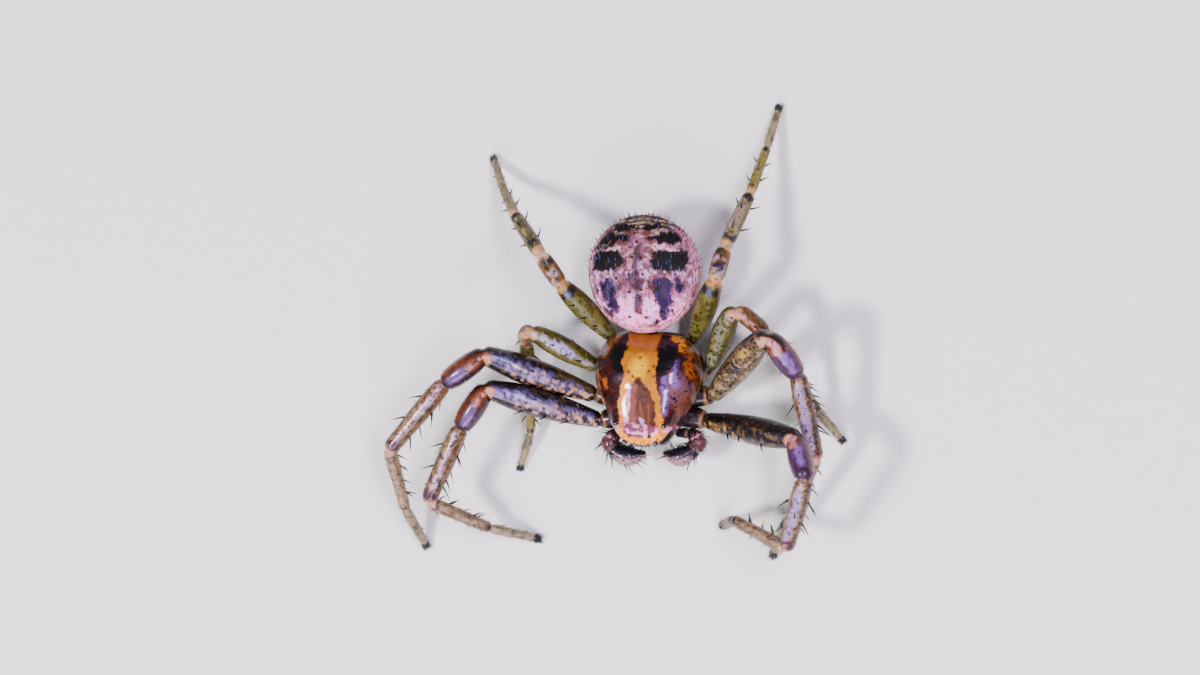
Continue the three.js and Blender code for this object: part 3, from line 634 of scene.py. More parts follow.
# Marks of the legs: the legs, a segment and its rows. A row is a colour, its share, how broken up it is and
# its start and end along the segment, in hundredths, then its start and end round it, in degrees from the
# top, or nothing for a ring.
LEG_MARKS = (
    (ALL_LEGS, "coxa", (0x9A7452, 70, 0, 86, 94)),
    # Right front femora: the violet along the top is a painted sheen and the pale lilac on the outer part a
    # painted highlight.
    (RIGHT_FRONT, "femur", (0x605880, 85, 22, 6, 96, -34, 26), (0xA698C4, 80, 44, 45, 95, -22, 16),
     (0xBC968C, 85, 50, 5, 75, -12, 50), (0x4E3A14, 85, 52, 20, 72, -100, -36),
     (0x4A3220, 85, 48, 30, 95, 42, 100), (0x020204, 80, 58, 0, 70, -60, 70)),
    ("right_2", "femur", (0x4E4416, 90, 35, 0, 42, -120, -24)),
    (RIGHT_FRONT, "femur", (0xC29A82, 90, 46, 0, 24, -4, 60)),
    ("left_1", "femur", (0x6A5638, 85, 52, 0, 90, -18, 90), (0xA88A60, 85, 58, 0, 50, 0, 70),
     (0x30260E, 80, 45, 35, 80, -70, 0), (0x050403, 95, 0, 10, 96, -150, -46)),
    ("left_2", "femur", (0x68583E, 95, 0, 0, 100, -60, 160), (0xA08C70, 85, 48, 0, 90, -30, 90),
     (0xC0A060, 80, 0, 72, 84, -30, 4), (0x1C1A10, 85, 40, 46, 66, -20, 40),
     (0x0C0A06, 90, 0, 84, 98, -120, -34)),
    (FRONT_LEGS, "femur", (0x3A2008, 70, 0, 96.5, 110, -120, -12), (0xCC9C82, 90, 0, 95.5, 110, -12, 60)),
    (FRONT_LEGS, "patella", (0x1A0A0E, 85, 0, 0, 100, 58, 200), (0x38202E, 95, 0, 34, 100, -14, 66)),
    # On the left front patellae, the lilac row along the top is a painted highlight over their purple.
    (LEFT_FRONT, "patella", (0x4A2C48, 90, 0, 30, 110, -62, 60), (0x8A70A8, 90, 15, 30, 84, -34, 8),
     (0xC89498, 85, 20, -10, 34, -20, 30)),
    (RIGHT_FRONT, "patella", (0x6E5688, 90, 0, 44, 86, 0, 38), (0xD09C90, 85, 20, -10, 42, 8, 24)),
    (FRONT_LEGS, "patella", (0x141004, 90, 0, -10, 24, -120, -26), (0x2A1A30, 70, 0, 90, 97)),
    # The pink-lilac streak along the top of the front tibiae is a painted highlight.
    (FRONT_LEGS, "tibia", (0x24140C, 85, 40, 2, 95, -68, -38), (0xB4946A, 70, 40, 5, 92, -38, -14),
     (0xC4A8BE, 85, 25, 3, 94, -10, 22)),
    (RIGHT_FRONT, "tibia", (0x140A0C, 95, 48, 5, 95, 20, 46)),
    # A lilac streak along the top of the left front tibiae, a painted highlight.
    (LEFT_FRONT, "tibia", (0x9C8CB4, 80, 0, 10, 85, -22, 20)),
    (FRONT_LEGS, "tibia", (0x4A2038, 90, 30, 86, 96, -90, 90), (0xC8A088, 85, 0, 97, 110, -60, 60)),
    (FRONT_LEGS, "metatarsus", (0xC49C86, 80, 0, -10, 6), (0xB09A8C, 60, 35, 5, 90, -16, 20),
     (0x1C1418, 85, 0, 93, 98.5)),
    (REAR_LEGS, "femur", (0x706A3A, 80, 40, 5, 90, -50, 50)),
    ("right_3", "femur", (0x9E98A0, 90, 0, 8, 50, -12, 10), (0xB2A8C4, 95, 25, 42, 97, -24, 18),
     (0x3A3C78, 80, 50, 30, 60, 0, 26)),
    ("right_4", "femur", (0x76765E, 90, 0, 10, 88, -12, 12)),
    ("left_3", "femur", (0x7C7C6C, 85, 30, 10, 95, -40, 34)),
    (FOURTH, "femur", (0x0A0A0E, 95, 0, 85, 94.5, -70, -14), (0x0A0A0E, 95, 0, 85, 93, 22, 90),
     (0x68709A, 80, 0, 84, 94, -12, 20)),
    ("right_3", "femur", (0x0A0A08, 90, 0, 88, 96, 24, 90)),
    (FOURTH, "femur", (0xB88C5C, 90, 20, 95.5, 110)),
    (THIRD, "femur", (0xC09C80, 90, 25, 93, 110, -30, 50), (0x5A3C18, 80, 0, 96, 110, -200, -40)),
    (THIRD, "patella", (0xC09C80, 85, 30, -10, 14, -50, 60)),
    (FOURTH, "patella", (0xC09876, 85, 20, -10, 16)),
    (THIRD, "patella", (0x52300E, 90, 30, 16, 95, -120, -8), (0xC8968C, 85, 30, 10, 95, -4, 30)),
    (FOURTH, "patella", (0xA898A8, 85, 40, 16, 60, -40, 60), (0x2A1E40, 80, 52, 20, 50, -60, 60),
     (0x08080A, 95, 0, 70, 90, -110, 14), (0xD2B49A, 85, 0, 90, 110)),
    (REAR_LEGS, "tibia", (0xC8A07C, 80, 0, -10, 8)),
    ("left_4", "tibia", (0x1E1A34, 90, 0, 12, 20)),
    ("right_4", "tibia", (0x08080A, 90, 45, 10, 30, -110, 110)),
    (REAR_LEGS, "tibia", (0xA09078, 70, 35, 20, 86, -16, 20)),
    ("left_4", "tibia", (0x9C8A80, 85, 25, 20, 86, -40, 50)),
    (REAR_LEGS, "tibia", (0x08080E, 95, 0, 86, 95), (0xC8AC84, 85, 0, 96.5, 110)),
    (REAR_LEGS, "metatarsus", (0xD0A884, 80, 0, -10, 8), (0x1C1620, 85, 0, 92, 98.5)),
    (ALL_LEGS, "tarsus", (0x0E1830, 95, 0, 86, 120)),
    ("left_1", "tarsus", (0x3E2E16, 90, 0, -20, 87)),
)


def leg_paint(leg, segment, fractions, turns, points):
    """Tint and flecks over a segment of a leg."""
    ground, fleck, dense = (FRONT_PAINT if leg.front else REAR_PAINT)[segment]
    fleck, dense = OWN_FLECKS.get((leg.name, segment), (fleck, dense))
    length = len(points) * SKIN_STEP
    place = np.broadcast_to(fractions[:, None], turns.shape)
    way = place + 0.1 * (noise(points, 0.1, 3) - 0.5) / length
    side = np.degrees(turns) + 30 * (noise(points, 0.09, 26) - 0.5)
    paint = Paint(ground, points)
    paint.lay(0x000000, 0.5 * blotches(points, 0.11, 27, 0.5, 0.3))
    rows = ((legs, where, *mark) for legs, where, *marks in LEG_MARKS for mark in marks)
    for seed, (legs, where, code, share, broken, start, end, *turn) in enumerate(rows, 40):
        if where != segment or leg.name not in legs:
            continue
        soft = 0.11 if turn else 0.05
        start, end = start / 100, end / 100
        patch = smooth((way - start) * length / soft + 0.5) * smooth((end - way) * length / soft + 0.5)
        if turn:
            patch = patch * smooth((side - turn[0]) / 24 + 0.5) * smooth((turn[1] - side) / 24 + 0.5)
        if broken:
            patch = patch * blotches(points, 0.075, seed, broken / 100, 0.12)
        paint.lay(code, share / 100 * patch)
    edge = np.minimum(place, 1 - place) * length
    return paint.tint, flecked(colour(fleck), dense * smooth(edge / 0.06))


def leg_skin(leg, material):
    """The whole leg as one skin, from its root under the body to the tip."""
    rings, tints, flecks = [], [], []
    angles = round_turns(SKIN_SIDES)
    turns = np.arctan2(leg.towards_head * np.cos(angles), np.sin(angles))
    for i, segment in enumerate(SEGMENTS):
        count = max(6, round(segment_line(leg.corners, i, [0.0])[2] / SKIN_STEP))
        fractions = (np.arange(count) + 0.5) / count
        if segment == "tarsus":
            fractions = np.append(fractions, [0.995, 1.01])
        grid = np.broadcast_to(turns, (len(fractions), SKIN_SIDES))
        points, _, _ = leg.surface(segment, fractions, grid)
        points[..., 2] = np.maximum(points[..., 2], 0.0)
        tint, fleck = leg_paint(leg, segment, fractions, grid, points)
        rings.append(points)
        tints.append(tint)
        flecks.append(fleck)
    made = mesh_object(f"leg_{leg.name}", loft(np.concatenate(rings)), material,
                       "front_leg_upper" if leg.front else "rear_leg_upper",
                       tint=with_ends(np.concatenate(tints)), fleck=with_ends(np.concatenate(flecks)))
    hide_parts(*(f"leg_{leg.name}_{segment}" for segment in SEGMENTS[1:]))


def same_numbers(seed):
    """The numbers from 0 to 1 that vary the solids' spines."""
    state = seed
    while True:
        state = (state * 1664525 + 1013904223) % 2 ** 32
        yield state / 2 ** 32


def leg_coat(leg, numbers, material):
    """Spines where the solids have them, and finer bristles and hairs between them."""
    rows = []
    row_of_map = list(POSE).index(leg.name)

    def grow(segment, fraction, turn, lean, length, radius, code, sag=0.1):
        found = leg.surface(segment, np.array([fraction]), np.array([turn]))
        point, outward, way = (each[0] for each in found)
        direction = outward * np.cos(lean) + way * np.sin(lean)
        if point[2] + length * direction[2] < LOWEST_HAIR:
            return
        place = [(row_of_map + 0.5 + 0.4 * turn / np.pi) / len(POSE),
                 (SEGMENTS.index(segment) + fraction) / len(SEGMENTS)]
        rows.append((point, direction, length, radius, colour(code), place, sag * way))

    def varied(key):
        return SPINE_VARIATION[key] * (2 * next(numbers) - 1)

    for segment, spines in (FRONT_SPINES if leg.front else REAR_SPINES).items():
        for turn, places, size, *pair in spines:
            if pair and leg.pair not in pair:
                continue
            for place in places:
                fraction = place + varied("at")
                turned = np.radians(turn + varied("turn"))
                lean = np.radians(SPINE_LEAN + varied("lean"))
                length = size * (1 + varied("length"))
                grow(segment, fraction, turned, lean, length, SPINE_RADIUS, 0x08080C, 0.12)
    for segment, thick in HAIRS_PER_MM.items():
        length = segment_line(leg.corners, SEGMENTS.index(segment), [0.0])[2]
        for _ in range(round(length * thick)):
            fraction, turn = RANDOM.uniform(0.03, 0.99), RANDOM.uniform(-np.pi, np.pi)
            lean = np.radians(RANDOM.uniform(40, 68))
            size = RANDOM.uniform(0.06, 0.13)
            code = 0x1A1512 if RANDOM.uniform() < 0.6 else 0x9A8A74
            grow(segment, fraction, turn, lean, size, 0.0045, code)
    for _ in range(TIP_HAIRS):
        fraction, turn = RANDOM.uniform(0.86, 1.0), RANDOM.uniform(-np.pi, np.pi)
        lean = np.radians(RANDOM.uniform(30, 75))
        grow("tarsus", fraction, turn, lean, RANDOM.uniform(0.05, 0.09), 0.006, 0x11182A)
    coat(f"bristles_{leg.name}", "front_leg_lower" if leg.front else "rear_leg_lower", material, rows)


# Marks of the carapace, in its own frame: colour, share, softness and bars, for Paint.lay_bars.
CARAPACE_MARKS = (
    # The two lilac streaks on the left flank are painted reflections.
    (0x8A6AB8, 75, 6, (53, 26, 55, -50, 5)),
    (0x8A6AB8, 75, 7, (70, 60, 75, 10, 6)),
    (0x020403, 100, 3, (-57, 102, -60, 70, 16), (-60, 70, -52, 44, 12), (-48, 44, -46, 36, 5),
     (40, 115, 51, 90, 15), (54, 86, 55, 64, 19), (46, 60, 42, 40, 13), (74, 120, 105, 86, 5),
     (-98, 72, -90, 52, 4)),
    (0xD08600, 100, 3, (54, 114, 68, 109, 6), (68, 109, 81, 96, 7.5), (80, 96, 80, 86, 4)),
    (0x7A4E0C, 100, 3, (-62, 112, -78, 98, 5), (-78, 98, -94, 64, 5)),
    (0x8E4E08, 100, 3, (92, 86, 98, 72, 8), (92, 60, 100, 36, 6), (100, 56, 106, 30, 5)),
    (0x9A5A10, 100, 3, (-104, 30, -100, -5, 3.5), (-94, -20, -84, -40, 3), (-86, 16, -80, 0, 4)),
    (0x74483A, 100, 3, (98, -12, 84, -44, 7), (76, -40, 84, -50, 6)),
)
WEDGE_MARKS = ((0x966034, 70, 4, (-12, -5, -14, -70, 2), (2, -30, 4, -75, 2), (24, -35, 22, -75, 2)),)
CARAPACE_GLINTS = ((0xE8B0D8, 80, 3, (-23, 0, -25, -34, 3.5), (-26, -34, -33, -85, 4.5)),
                   (0xD8A8D8, 80, 3, (2, -66, 12, -80, 3.5)))
FACE_LINES = ((0xE08A10, 100, 3, (-40, -55, -40, -90, 3.5), (47, -55, 47, -90, 3.5)),)
FACE_CORNERS = ((-50, -96, 7), (55, -96, 7))
# Edges of its middle band and of the wedge in that, every 0.2 from the rear forward.
BAND_REAR_END = 1.1
BAND_EDGES = ([-0.44, -0.4, -0.43, -0.44, -0.39, -0.4, -0.45, -0.48, -0.48, -0.41, -0.36],
              [0.27, 0.27, 0.33, 0.35, 0.34, 0.37, 0.43, 0.46, 0.47, 0.47, 0.47])
WEDGE_REAR_END = 0.2
WEDGE_EDGES = ([-0.06, -0.23, -0.32, -0.36, -0.37, -0.33], [-0.03, 0.2, 0.31, 0.35, 0.36, 0.36])
BAND_DOTS = ((-8, 65, 3.5), (-27, 33, 3.5), (16, 37, 3.5), (-17, 26, 2.5), (30, 27, 3), (-39, 23, 2.5),
             (-5, 18, 7), (-34, 50, 2), (28, 50, 3))


def between_edges(x, y, edges, rear_end):
    """1 between two edges that are given every 0.2 forward from a place."""
    left, right = (curve_through(edge, (rear_end - y) / 0.2) for edge in edges)
    return smooth((x - left + 0.015) / 0.04) * smooth((right + 0.015 - x) / 0.04)


def carapace_paint(points):
    """Tint and flecks of the carapace, by places in its own frame."""
    places = shaken(points, (0.1, 0.07, (1, 2)), (0.03, 0.05, (7, 8)))
    x, y, z = places[..., 0], places[..., 1], points[..., 2]
    paint = Paint(0x3A1204, points)
    lay = paint.lay
    lay(0x6A2A04, 0.6 * blotches(points, 0.09, 4, 0.5, 0.2))
    lay(0x180603, 0.8 * blotches(points, 0.08, 9, 0.55, 0.15))
    lay(0x704006, 0.7 * smooth((CARAPACE_MARGIN + 0.5 - z) / 0.3) * blotches(points, 0.1, 5, 0.45, 0.2))
    # A broad mauve patch on the left flank, a painted sheen under the painted lilac reflections.
    lay(0x74545A, 0.9 * spot(places * [1, 0.7], (78, 0, 26), 0.14))
    paint.lay_bars(places, CARAPACE_MARKS)

    # The middle band: ochre behind, yellow in its middle, forking round a brown wedge in front.
    band = between_edges(x, y, BAND_EDGES, BAND_REAR_END) * smooth((y + 0.95) / 0.1)
    lay(0x9C6420, band)
    lay(0xB67C00, band * smooth((0.82 - y) / 0.12))
    lay(0xF0BC00, band * spot(places * [1, 0.8], (-5, 36, 16), 0.14))
    lay(0xD6921E, band * smooth((0.3 - y) / 0.2) * smooth((-x - 0.1) / 0.2))
    wedge = between_edges(x, y, WEDGE_EDGES, WEDGE_REAR_END) * smooth((WEDGE_REAR_END - y) / 0.06)
    lay(0x5C3200, wedge)
    lay(0x2A1600, 0.6 * wedge * blotches(points, 0.08, 3, 0.5, 0.2))
    lay(0x7C4A48, 0.85 * wedge * smooth((-0.02 - x) / 0.08))
    paint.lay_bars(places, WEDGE_MARKS, wedge)
    paint.lay_bars(places, CARAPACE_GLINTS)
    for dot in BAND_DOTS:
        lay(0x3A1E00, 0.9 * spot(places, dot, 0.03))

    # The field of the eyes, pale and mauve, with an orange front edge.
    front = smooth((-0.74 - y) / 0.1)
    lay(0x86506A, front)
    lay(0xF0B0C8, 0.8 * front * blotches(points, 0.08, 6, 0.42, 0.2))
    paint.lay_bars(places, FACE_LINES)
    for corner in FACE_CORNERS:
        lay(0xF4C8B8, 0.9 * spot(places, corner, 0.06))
    lay(0xF09A10, smooth((1.82 - z) / 0.03) * smooth((-0.9 - y) / 0.06) * smooth((0.72 - np.abs(x)) / 0.1))
    lay(0x2A1408, smooth((1.66 - z) / 0.05) * smooth((-0.8 - y) / 0.1))

    # A pale line along the flanks over the dark rim.
    lay(0xA07838, 0.8 * smooth(1 - np.abs(z - CARAPACE_MARGIN - 0.2) / 0.035) * smooth((y + 0.6) / 0.4))
    lay(0x100803, smooth((CARAPACE_MARGIN + 0.16 - z) / 0.06))
    dense = 0.3 * (1 - band) * (1 - front) + 0.1 * band + 0.1 * front
    return paint.tint, flecked(over(colour(0x120502), 0x7A3C04, band), dense)


def carapace_relief(angle, rise):
    """Height of the carapace's skin over its plain form: a thick margin, and furrows towards its middle."""
    point = carapace_point(angle, rise)
    x, y = point[..., 0], point[..., 1]
    relief = 0.012 * smooth((8 - rise) / 6)
    across = np.minimum(smooth((rise - 25) / 20), smooth((88 - rise) / 12))
    for way in (-35, 5, 45, 135, 175, 215):
        turn = np.radians(way)
        beside = -(y - 0.45) * np.cos(turn) + x * np.sin(turn)
        ahead = (y - 0.45) * np.sin(turn) + x * np.cos(turn)
        relief = relief - 0.006 * smooth(1 - np.abs(beside) / 0.16) * smooth((ahead - 0.1) / 0.3) * across
    return relief - 0.02 * bar(point[..., :2], (0, 42, 0, 62, 1), 0.05)


def skin_normals(rings):
    """Outward ways of a grid of rings that closes on itself round them."""
    normal = np.cross(np.roll(rings, -1, 1) - np.roll(rings, 1, 1), np.gradient(rings, axis=0))
    return normal / np.maximum(np.linalg.norm(normal, axis=-1, keepdims=True), 1e-12)


def make_carapace(material):
    rise = np.append(np.linspace(0, 60, 70), 60 + 30 * (1 - np.linspace(1, 0.02, 60) ** 2)[1:])
    angle, rise = np.meshgrid(round_turns(360), rise)
    plain = carapace_point(angle, rise)
    rings = plain + skin_normals(plain) * carapace_relief(angle, rise)[..., None]
    for kind, (x, rise_at, _) in EYES.items():
        if not kind.endswith("lateral"):
            continue
        for sign in (-1, 1):
            point, outward = face_frame(sign * x, rise_at)
            middle = point - 0.55 * TUBERCLE_RADIUS * outward
            way = rings - middle
            size = np.linalg.norm(way, axis=-1)
            grown = np.maximum(TUBERCLE_RADIUS * 0.97 - size, 0)
            near = np.linalg.norm(rings - point, axis=-1) < 0.2
            rings = rings + unit(way) * np.where(near, grown, 0)[..., None]
    drop = [0, 0, 0.03]
    rings = np.concatenate([rings[:1] * [0.9, 0.9, 1] - drop, rings[:1] * [0.97, 0.97, 1] - drop, rings])
    tint, fleck = carapace_paint(rings)
    made = mesh_object("carapace_skin", loft(carapace_placed(rings)), material, "carapace",
                       tint=with_ends(tint), fleck=with_ends(fleck))
    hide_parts("carapace")


def face_frame(x, rise):
    """The place on the face at a distance from the middle line, and the way the face looks there."""
    angle = -np.pi / 2
    for _ in range(20):
        angle += (x - carapace_point(angle, rise)[0]) * 0.8
    across = carapace_point(angle + 0.01, rise) - carapace_point(angle - 0.01, rise)
    up = carapace_point(angle, rise + 1) - carapace_point(angle, rise - 1)
    return carapace_point(angle, rise), unit(np.cross(across, up))


def ball(middle, radii):
    """A round form about a middle."""
    angle, rise = np.meshgrid(round_turns(28), np.radians(np.linspace(-88, 88, 18)))
    rings = np.stack([np.cos(rise) * np.cos(angle), np.cos(rise) * np.sin(angle), np.sin(rise)], -1)
    return loft(rings * radii + middle)


def make_eyes(material):
    for kind, (x, rise, radius) in EYES.items():
        for side, sign in (("right", -1), ("left", 1)):
            point, outward = face_frame(sign * x, rise)
            lift = (0.35 * TUBERCLE_RADIUS if kind.endswith("lateral") else 0) + 0.1 * radius
            middle = carapace_placed(point + outward * lift)
            shape = ball(middle, radius)
            way = (shape[0] - middle) @ carapace_way(outward)
            tint = over(colour(0x07050A), 0x2E1C12, smooth((0.25 * radius - way) / (0.3 * radius)))
            made = mesh_object(f"lens_{kind}_{side}", shape, material, "eye", tint=tint,
                               fleck=np.zeros((len(tint), 4)))
            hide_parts(f"eye_{kind}_{side}")


def carapace_way(way):
    """A direction of the carapace's own frame in the model frame."""
    return carapace_placed(way) - carapace_placed(np.zeros(3))


# Marks of the abdomen, from its middle: colour, share, softness and bars, for Paint.lay_bars.
ABDOMEN_MARKS = (
    (0xD9B4BC, 80, 4, (-95, 46, -42, 50, 3.5), (40, 52, 84, 46, 4)),
    (0x3A1E2C, 85, 6, (-5, 48, -4, 0, 8), (-14, -14, -4, -24, 16), (-2, -30, 0, -58, 7), (0, -62, -1, -84, 9),
     (24, -30, 32, -34, 6), (-40, -26, -46, -36, 6), (-46, 16, -28, 18, 6), (30, 22, 44, 34, 8)),
    (0x5A3208, 80, 5, (-50, 60, -34, 58, 5), (-24, 82, -10, 84, 4), (10, 84, 22, 82, 4), (22, 60, 34, 60, 4),
     (24, -32, 30, -34, 5), (95, 30, 98, 10, 3), (-98, 28, -100, 14, 4), (-6, -86, 2, -90, 4),
     (-46, 12, -36, 14, 4)),
    (0x2E1C48, 94, 4, (-66, -32, -62, -68, 14), (-62, -68, -56, -82, 10), (-84, -26, -80, -56, 7),
     (-78, -86, -66, -98, 6), (52, -32, 55, -62, 19), (52, -66, 52, -100, 10), (84, -20, 88, -40, 8),
     (42, -50, 40, -58, 6)),
    (0x060609, 100, 3, (-90, 18, -62, 22, 20), (-90, 32, -56, 34, 13), (-62, 20, -44, 20, 12),
     (-99, 10, -107, 2, 4), (-74, 5, -66, 3, 5), (60, 23, 86, 20, 22), (40, 17, 60, 24, 13),
     (36, 40, 44, 38, 3), (90, 12, 96, 2, 5), (102, 40, 104, 22, 4), (86, 50, 98, 36, 2),
     (-90, 57, -66, 71, 12), (-66, 71, -32, 72, 8.5), (-80, 56, -60, 60, 7), (-112, 38, -100, 55, 3),
     (-98, 62, -72, 84, 2.5), (24, 70, 50, 75, 6), (52, 72, 80, 69, 12.5), (78, 82, 84, 70, 5),
     (-52, 93, -30, 94, 8.5), (-40, 98, -18, 96, 5.5), (-72, 86, -50, 99, 2), (14, 96, 42, 95, 7.5),
     (26, 100, 44, 99, 5), (30, 88, 36, 90, 3), (-48, 107, -24, 112, 2), (-16, 113, 28, 113, 1.8),
     (50, 100, 68, 90, 1.5), (-83, -88, -70, -102, 3.5), (-66, -90, -64, -96, 3), (-55, -116, -44, -123, 3),
     (32, -117, 37, -112, 4), (50, -88, 53, -90, 4), (66, -88, 69, -92, 3), (90, -34, 91, -38, 3.5),
     (40, -40, 46, -38, 4.5), (-97, -42, -98, -48, 3.5), (-80, -34, -80, -38, 4), (-62, -40, -60, -50, 5),
     (-64, -70, -63, -72, 4)),
    (0xB8B08E, 70, 2, (-98, 46, -66, 62, 0.8), (-50, 79, -30, 76, 0.8), (22, 80, 50, 84, 0.8),
     (-30, 104, 34, 105, 0.8), (-50, 102, -30, 106, 0.8), (44, 105, 70, 92, 0.8)),
)
ABDOMEN_DOTS = ((-5, 62), (-14, 29), (6, 27), (-21, -8), (10, -8), (-21, -46), (7, -41), (-24, -100),
                (14, -101), (-50, -16), (-73, -19), (-4, 93), (80, -8))
ABDOMEN_RED_DOTS = ((-19, -126), (5, -126), (27, -78), (-40, -105), (20, -118), (-5, -110))


def abdomen_paint(points):
    """Tint and flecks of the abdomen, by places from its middle."""
    places = shaken(points, (0.1, 0.1, (11, 12)), (0.03, 0.08, (13, 14)))
    x, y, z = points[..., 0], points[..., 1], points[..., 2]
    paint = Paint(0x8A6070, points)
    lay = paint.lay
    lay(0xBE929E, 0.85 * blotches(points, 0.12, 15, 0.38, 0.25))
    lay(0xFFA8D4, 0.9 * smooth((-y - 0.3) / 0.6) * blotches(points, 0.16, 19, 0.1, 0.4))
    lay(0xE0B4E4, 0.7 * smooth((0.4 - y) / 0.3) * blotches(points, 0.1, 16, 0.55, 0.15))
    lay(0x5A3C3C, 0.7 * smooth((y + 0.5) / 0.5) * blotches(points, 0.07, 24, 0.56, 0.12))
    rear = smooth((y - 0.8) / 0.2) * smooth((z - 0.02) / 0.12)
    lay(0x4A3C2E, 0.85 * rear)
    streaks = np.sin((y + 0.25 * x * x) * 66 + 5 * noise(points, 0.3, 17))
    lay(0xC8BE9A, 0.8 * rear * smooth((streaks - 0.2) / 0.4))
    paint.lay_bars(places, ABDOMEN_MARKS)
    for dot in ABDOMEN_DOTS:
        lay(0x140A10, spot(points[..., :2], (*dot, 3.2), 0.016))
    for dot in ABDOMEN_RED_DOTS:
        lay(0x8A1E22, 0.8 * spot(points[..., :2], (*dot, 2), 0.02))
    flank = smooth((0.3 - z) / 0.12) * (1 - rear)
    lay(0xDDA6B4, 0.75 * flank)
    lines = np.sin(z * 80 + 9 * noise(points, 0.25, 18)) + 2.2 * (noise(points, 0.06, 25) - 0.5)
    lay(0x6A2C28, 0.85 * flank * smooth((lines - 0.4) / 0.4))
    lay(0x4E3A34, 0.6 * smooth((-0.2 - z) / 0.3))
    return paint.tint, flecked(colour(0x3A1E2C), 0.22 + 0.15 * rear + 0.06 * flank)


def make_abdomen(material):
    rise = np.concatenate([np.linspace(-89, -20, 30), np.linspace(-19, 60, 90), np.linspace(61, 89.8, 70)])
    angle, rise = np.meshgrid(round_turns(400), rise)
    plain = abdomen_point(angle, rise)
    folds = np.sin(plain[..., 2] * 60 + 7 * noise(plain, 0.4, 21)) * smooth((0.32 - plain[..., 2]) / 0.2)
    dimples = sum(spot(plain[..., :2], (*dot, 2), 0.05) for dot in ABDOMEN_DOTS[3:7])
    relief = 0.007 * folds + 0.01 * (noise(plain, 0.13, 22) - 0.5) - 0.016 * dimples
    rings = plain + skin_normals(plain) * relief[..., None]
    tint, fleck = abdomen_paint(plain)
    made = mesh_object("abdomen_skin", loft(rings + ABDOMEN_MIDDLE), material, "abdomen",
                       tint=with_ends(tint), fleck=with_ends(fleck))
    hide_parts("abdomen")


def abdomen_coat(material):
    """Black bristles round the rear, and short ones that lie over the back."""
    rows = []

    def grow(angle, rise, length, radius, code, lean):
        across = abdomen_point(angle + 0.02, rise) - abdomen_point(angle - 0.02, rise)
        up = abdomen_point(angle, rise + 2) - abdomen_point(angle, rise - 2)
        way = unit(np.cross(across, up)) * np.cos(lean) + np.array([0, 1, 0]) * np.sin(lean)
        place = [(angle / (2 * np.pi)) % 1, (rise + 90) / 180]
        root = abdomen_point(angle, rise) + ABDOMEN_MIDDLE
        rows.append((root, way, length, radius, colour(code), place, NO_SAG))

    for rise, count in ((2, 30), (18, 24), (36, 20), (54, 12)):
        for i in range(count):
            angle = np.pi * (i + RANDOM.uniform(0.2, 0.8)) / count
            grow(angle, rise + RANDOM.uniform(-5, 5), RANDOM.uniform(0.11, 0.17), 0.0085, 0x0F0C0E,
                 np.radians(RANDOM.uniform(10, 40)))
    for _ in range(300):
        angle, rise = RANDOM.uniform(0, 2 * np.pi), 90 - 80 * np.sqrt(RANDOM.uniform())
        # Some bristles over the back are pale ones, tinted blue-grey as a painted reflection.
        code = 0x4A5890 if RANDOM.uniform() < 0.45 else 0x1A1014
        grow(angle, rise, RANDOM.uniform(0.08, 0.16), 0.006, code, np.radians(RANDOM.uniform(66, 78)))
    coat("bristles_abdomen", "abdomen", material, rows)


def tube(points, radii, count, sides=28, beside=UP):
    """Rings round a curve that doesn't run along beside, with the ways out of it and the ways along it."""
    place = np.linspace(0, len(points) - 1, count)
    middle = curve_through(points, place)
    ways = unit(np.gradient(middle, axis=0))
    side = unit(np.cross(beside, ways))
    out = ways_round(side, np.cross(ways, side), round_turns(sides))
    radius = np.maximum(curve_through(radii, place), 0.004)
    return middle[:, None] + out * radius[:, None, None], out, ways


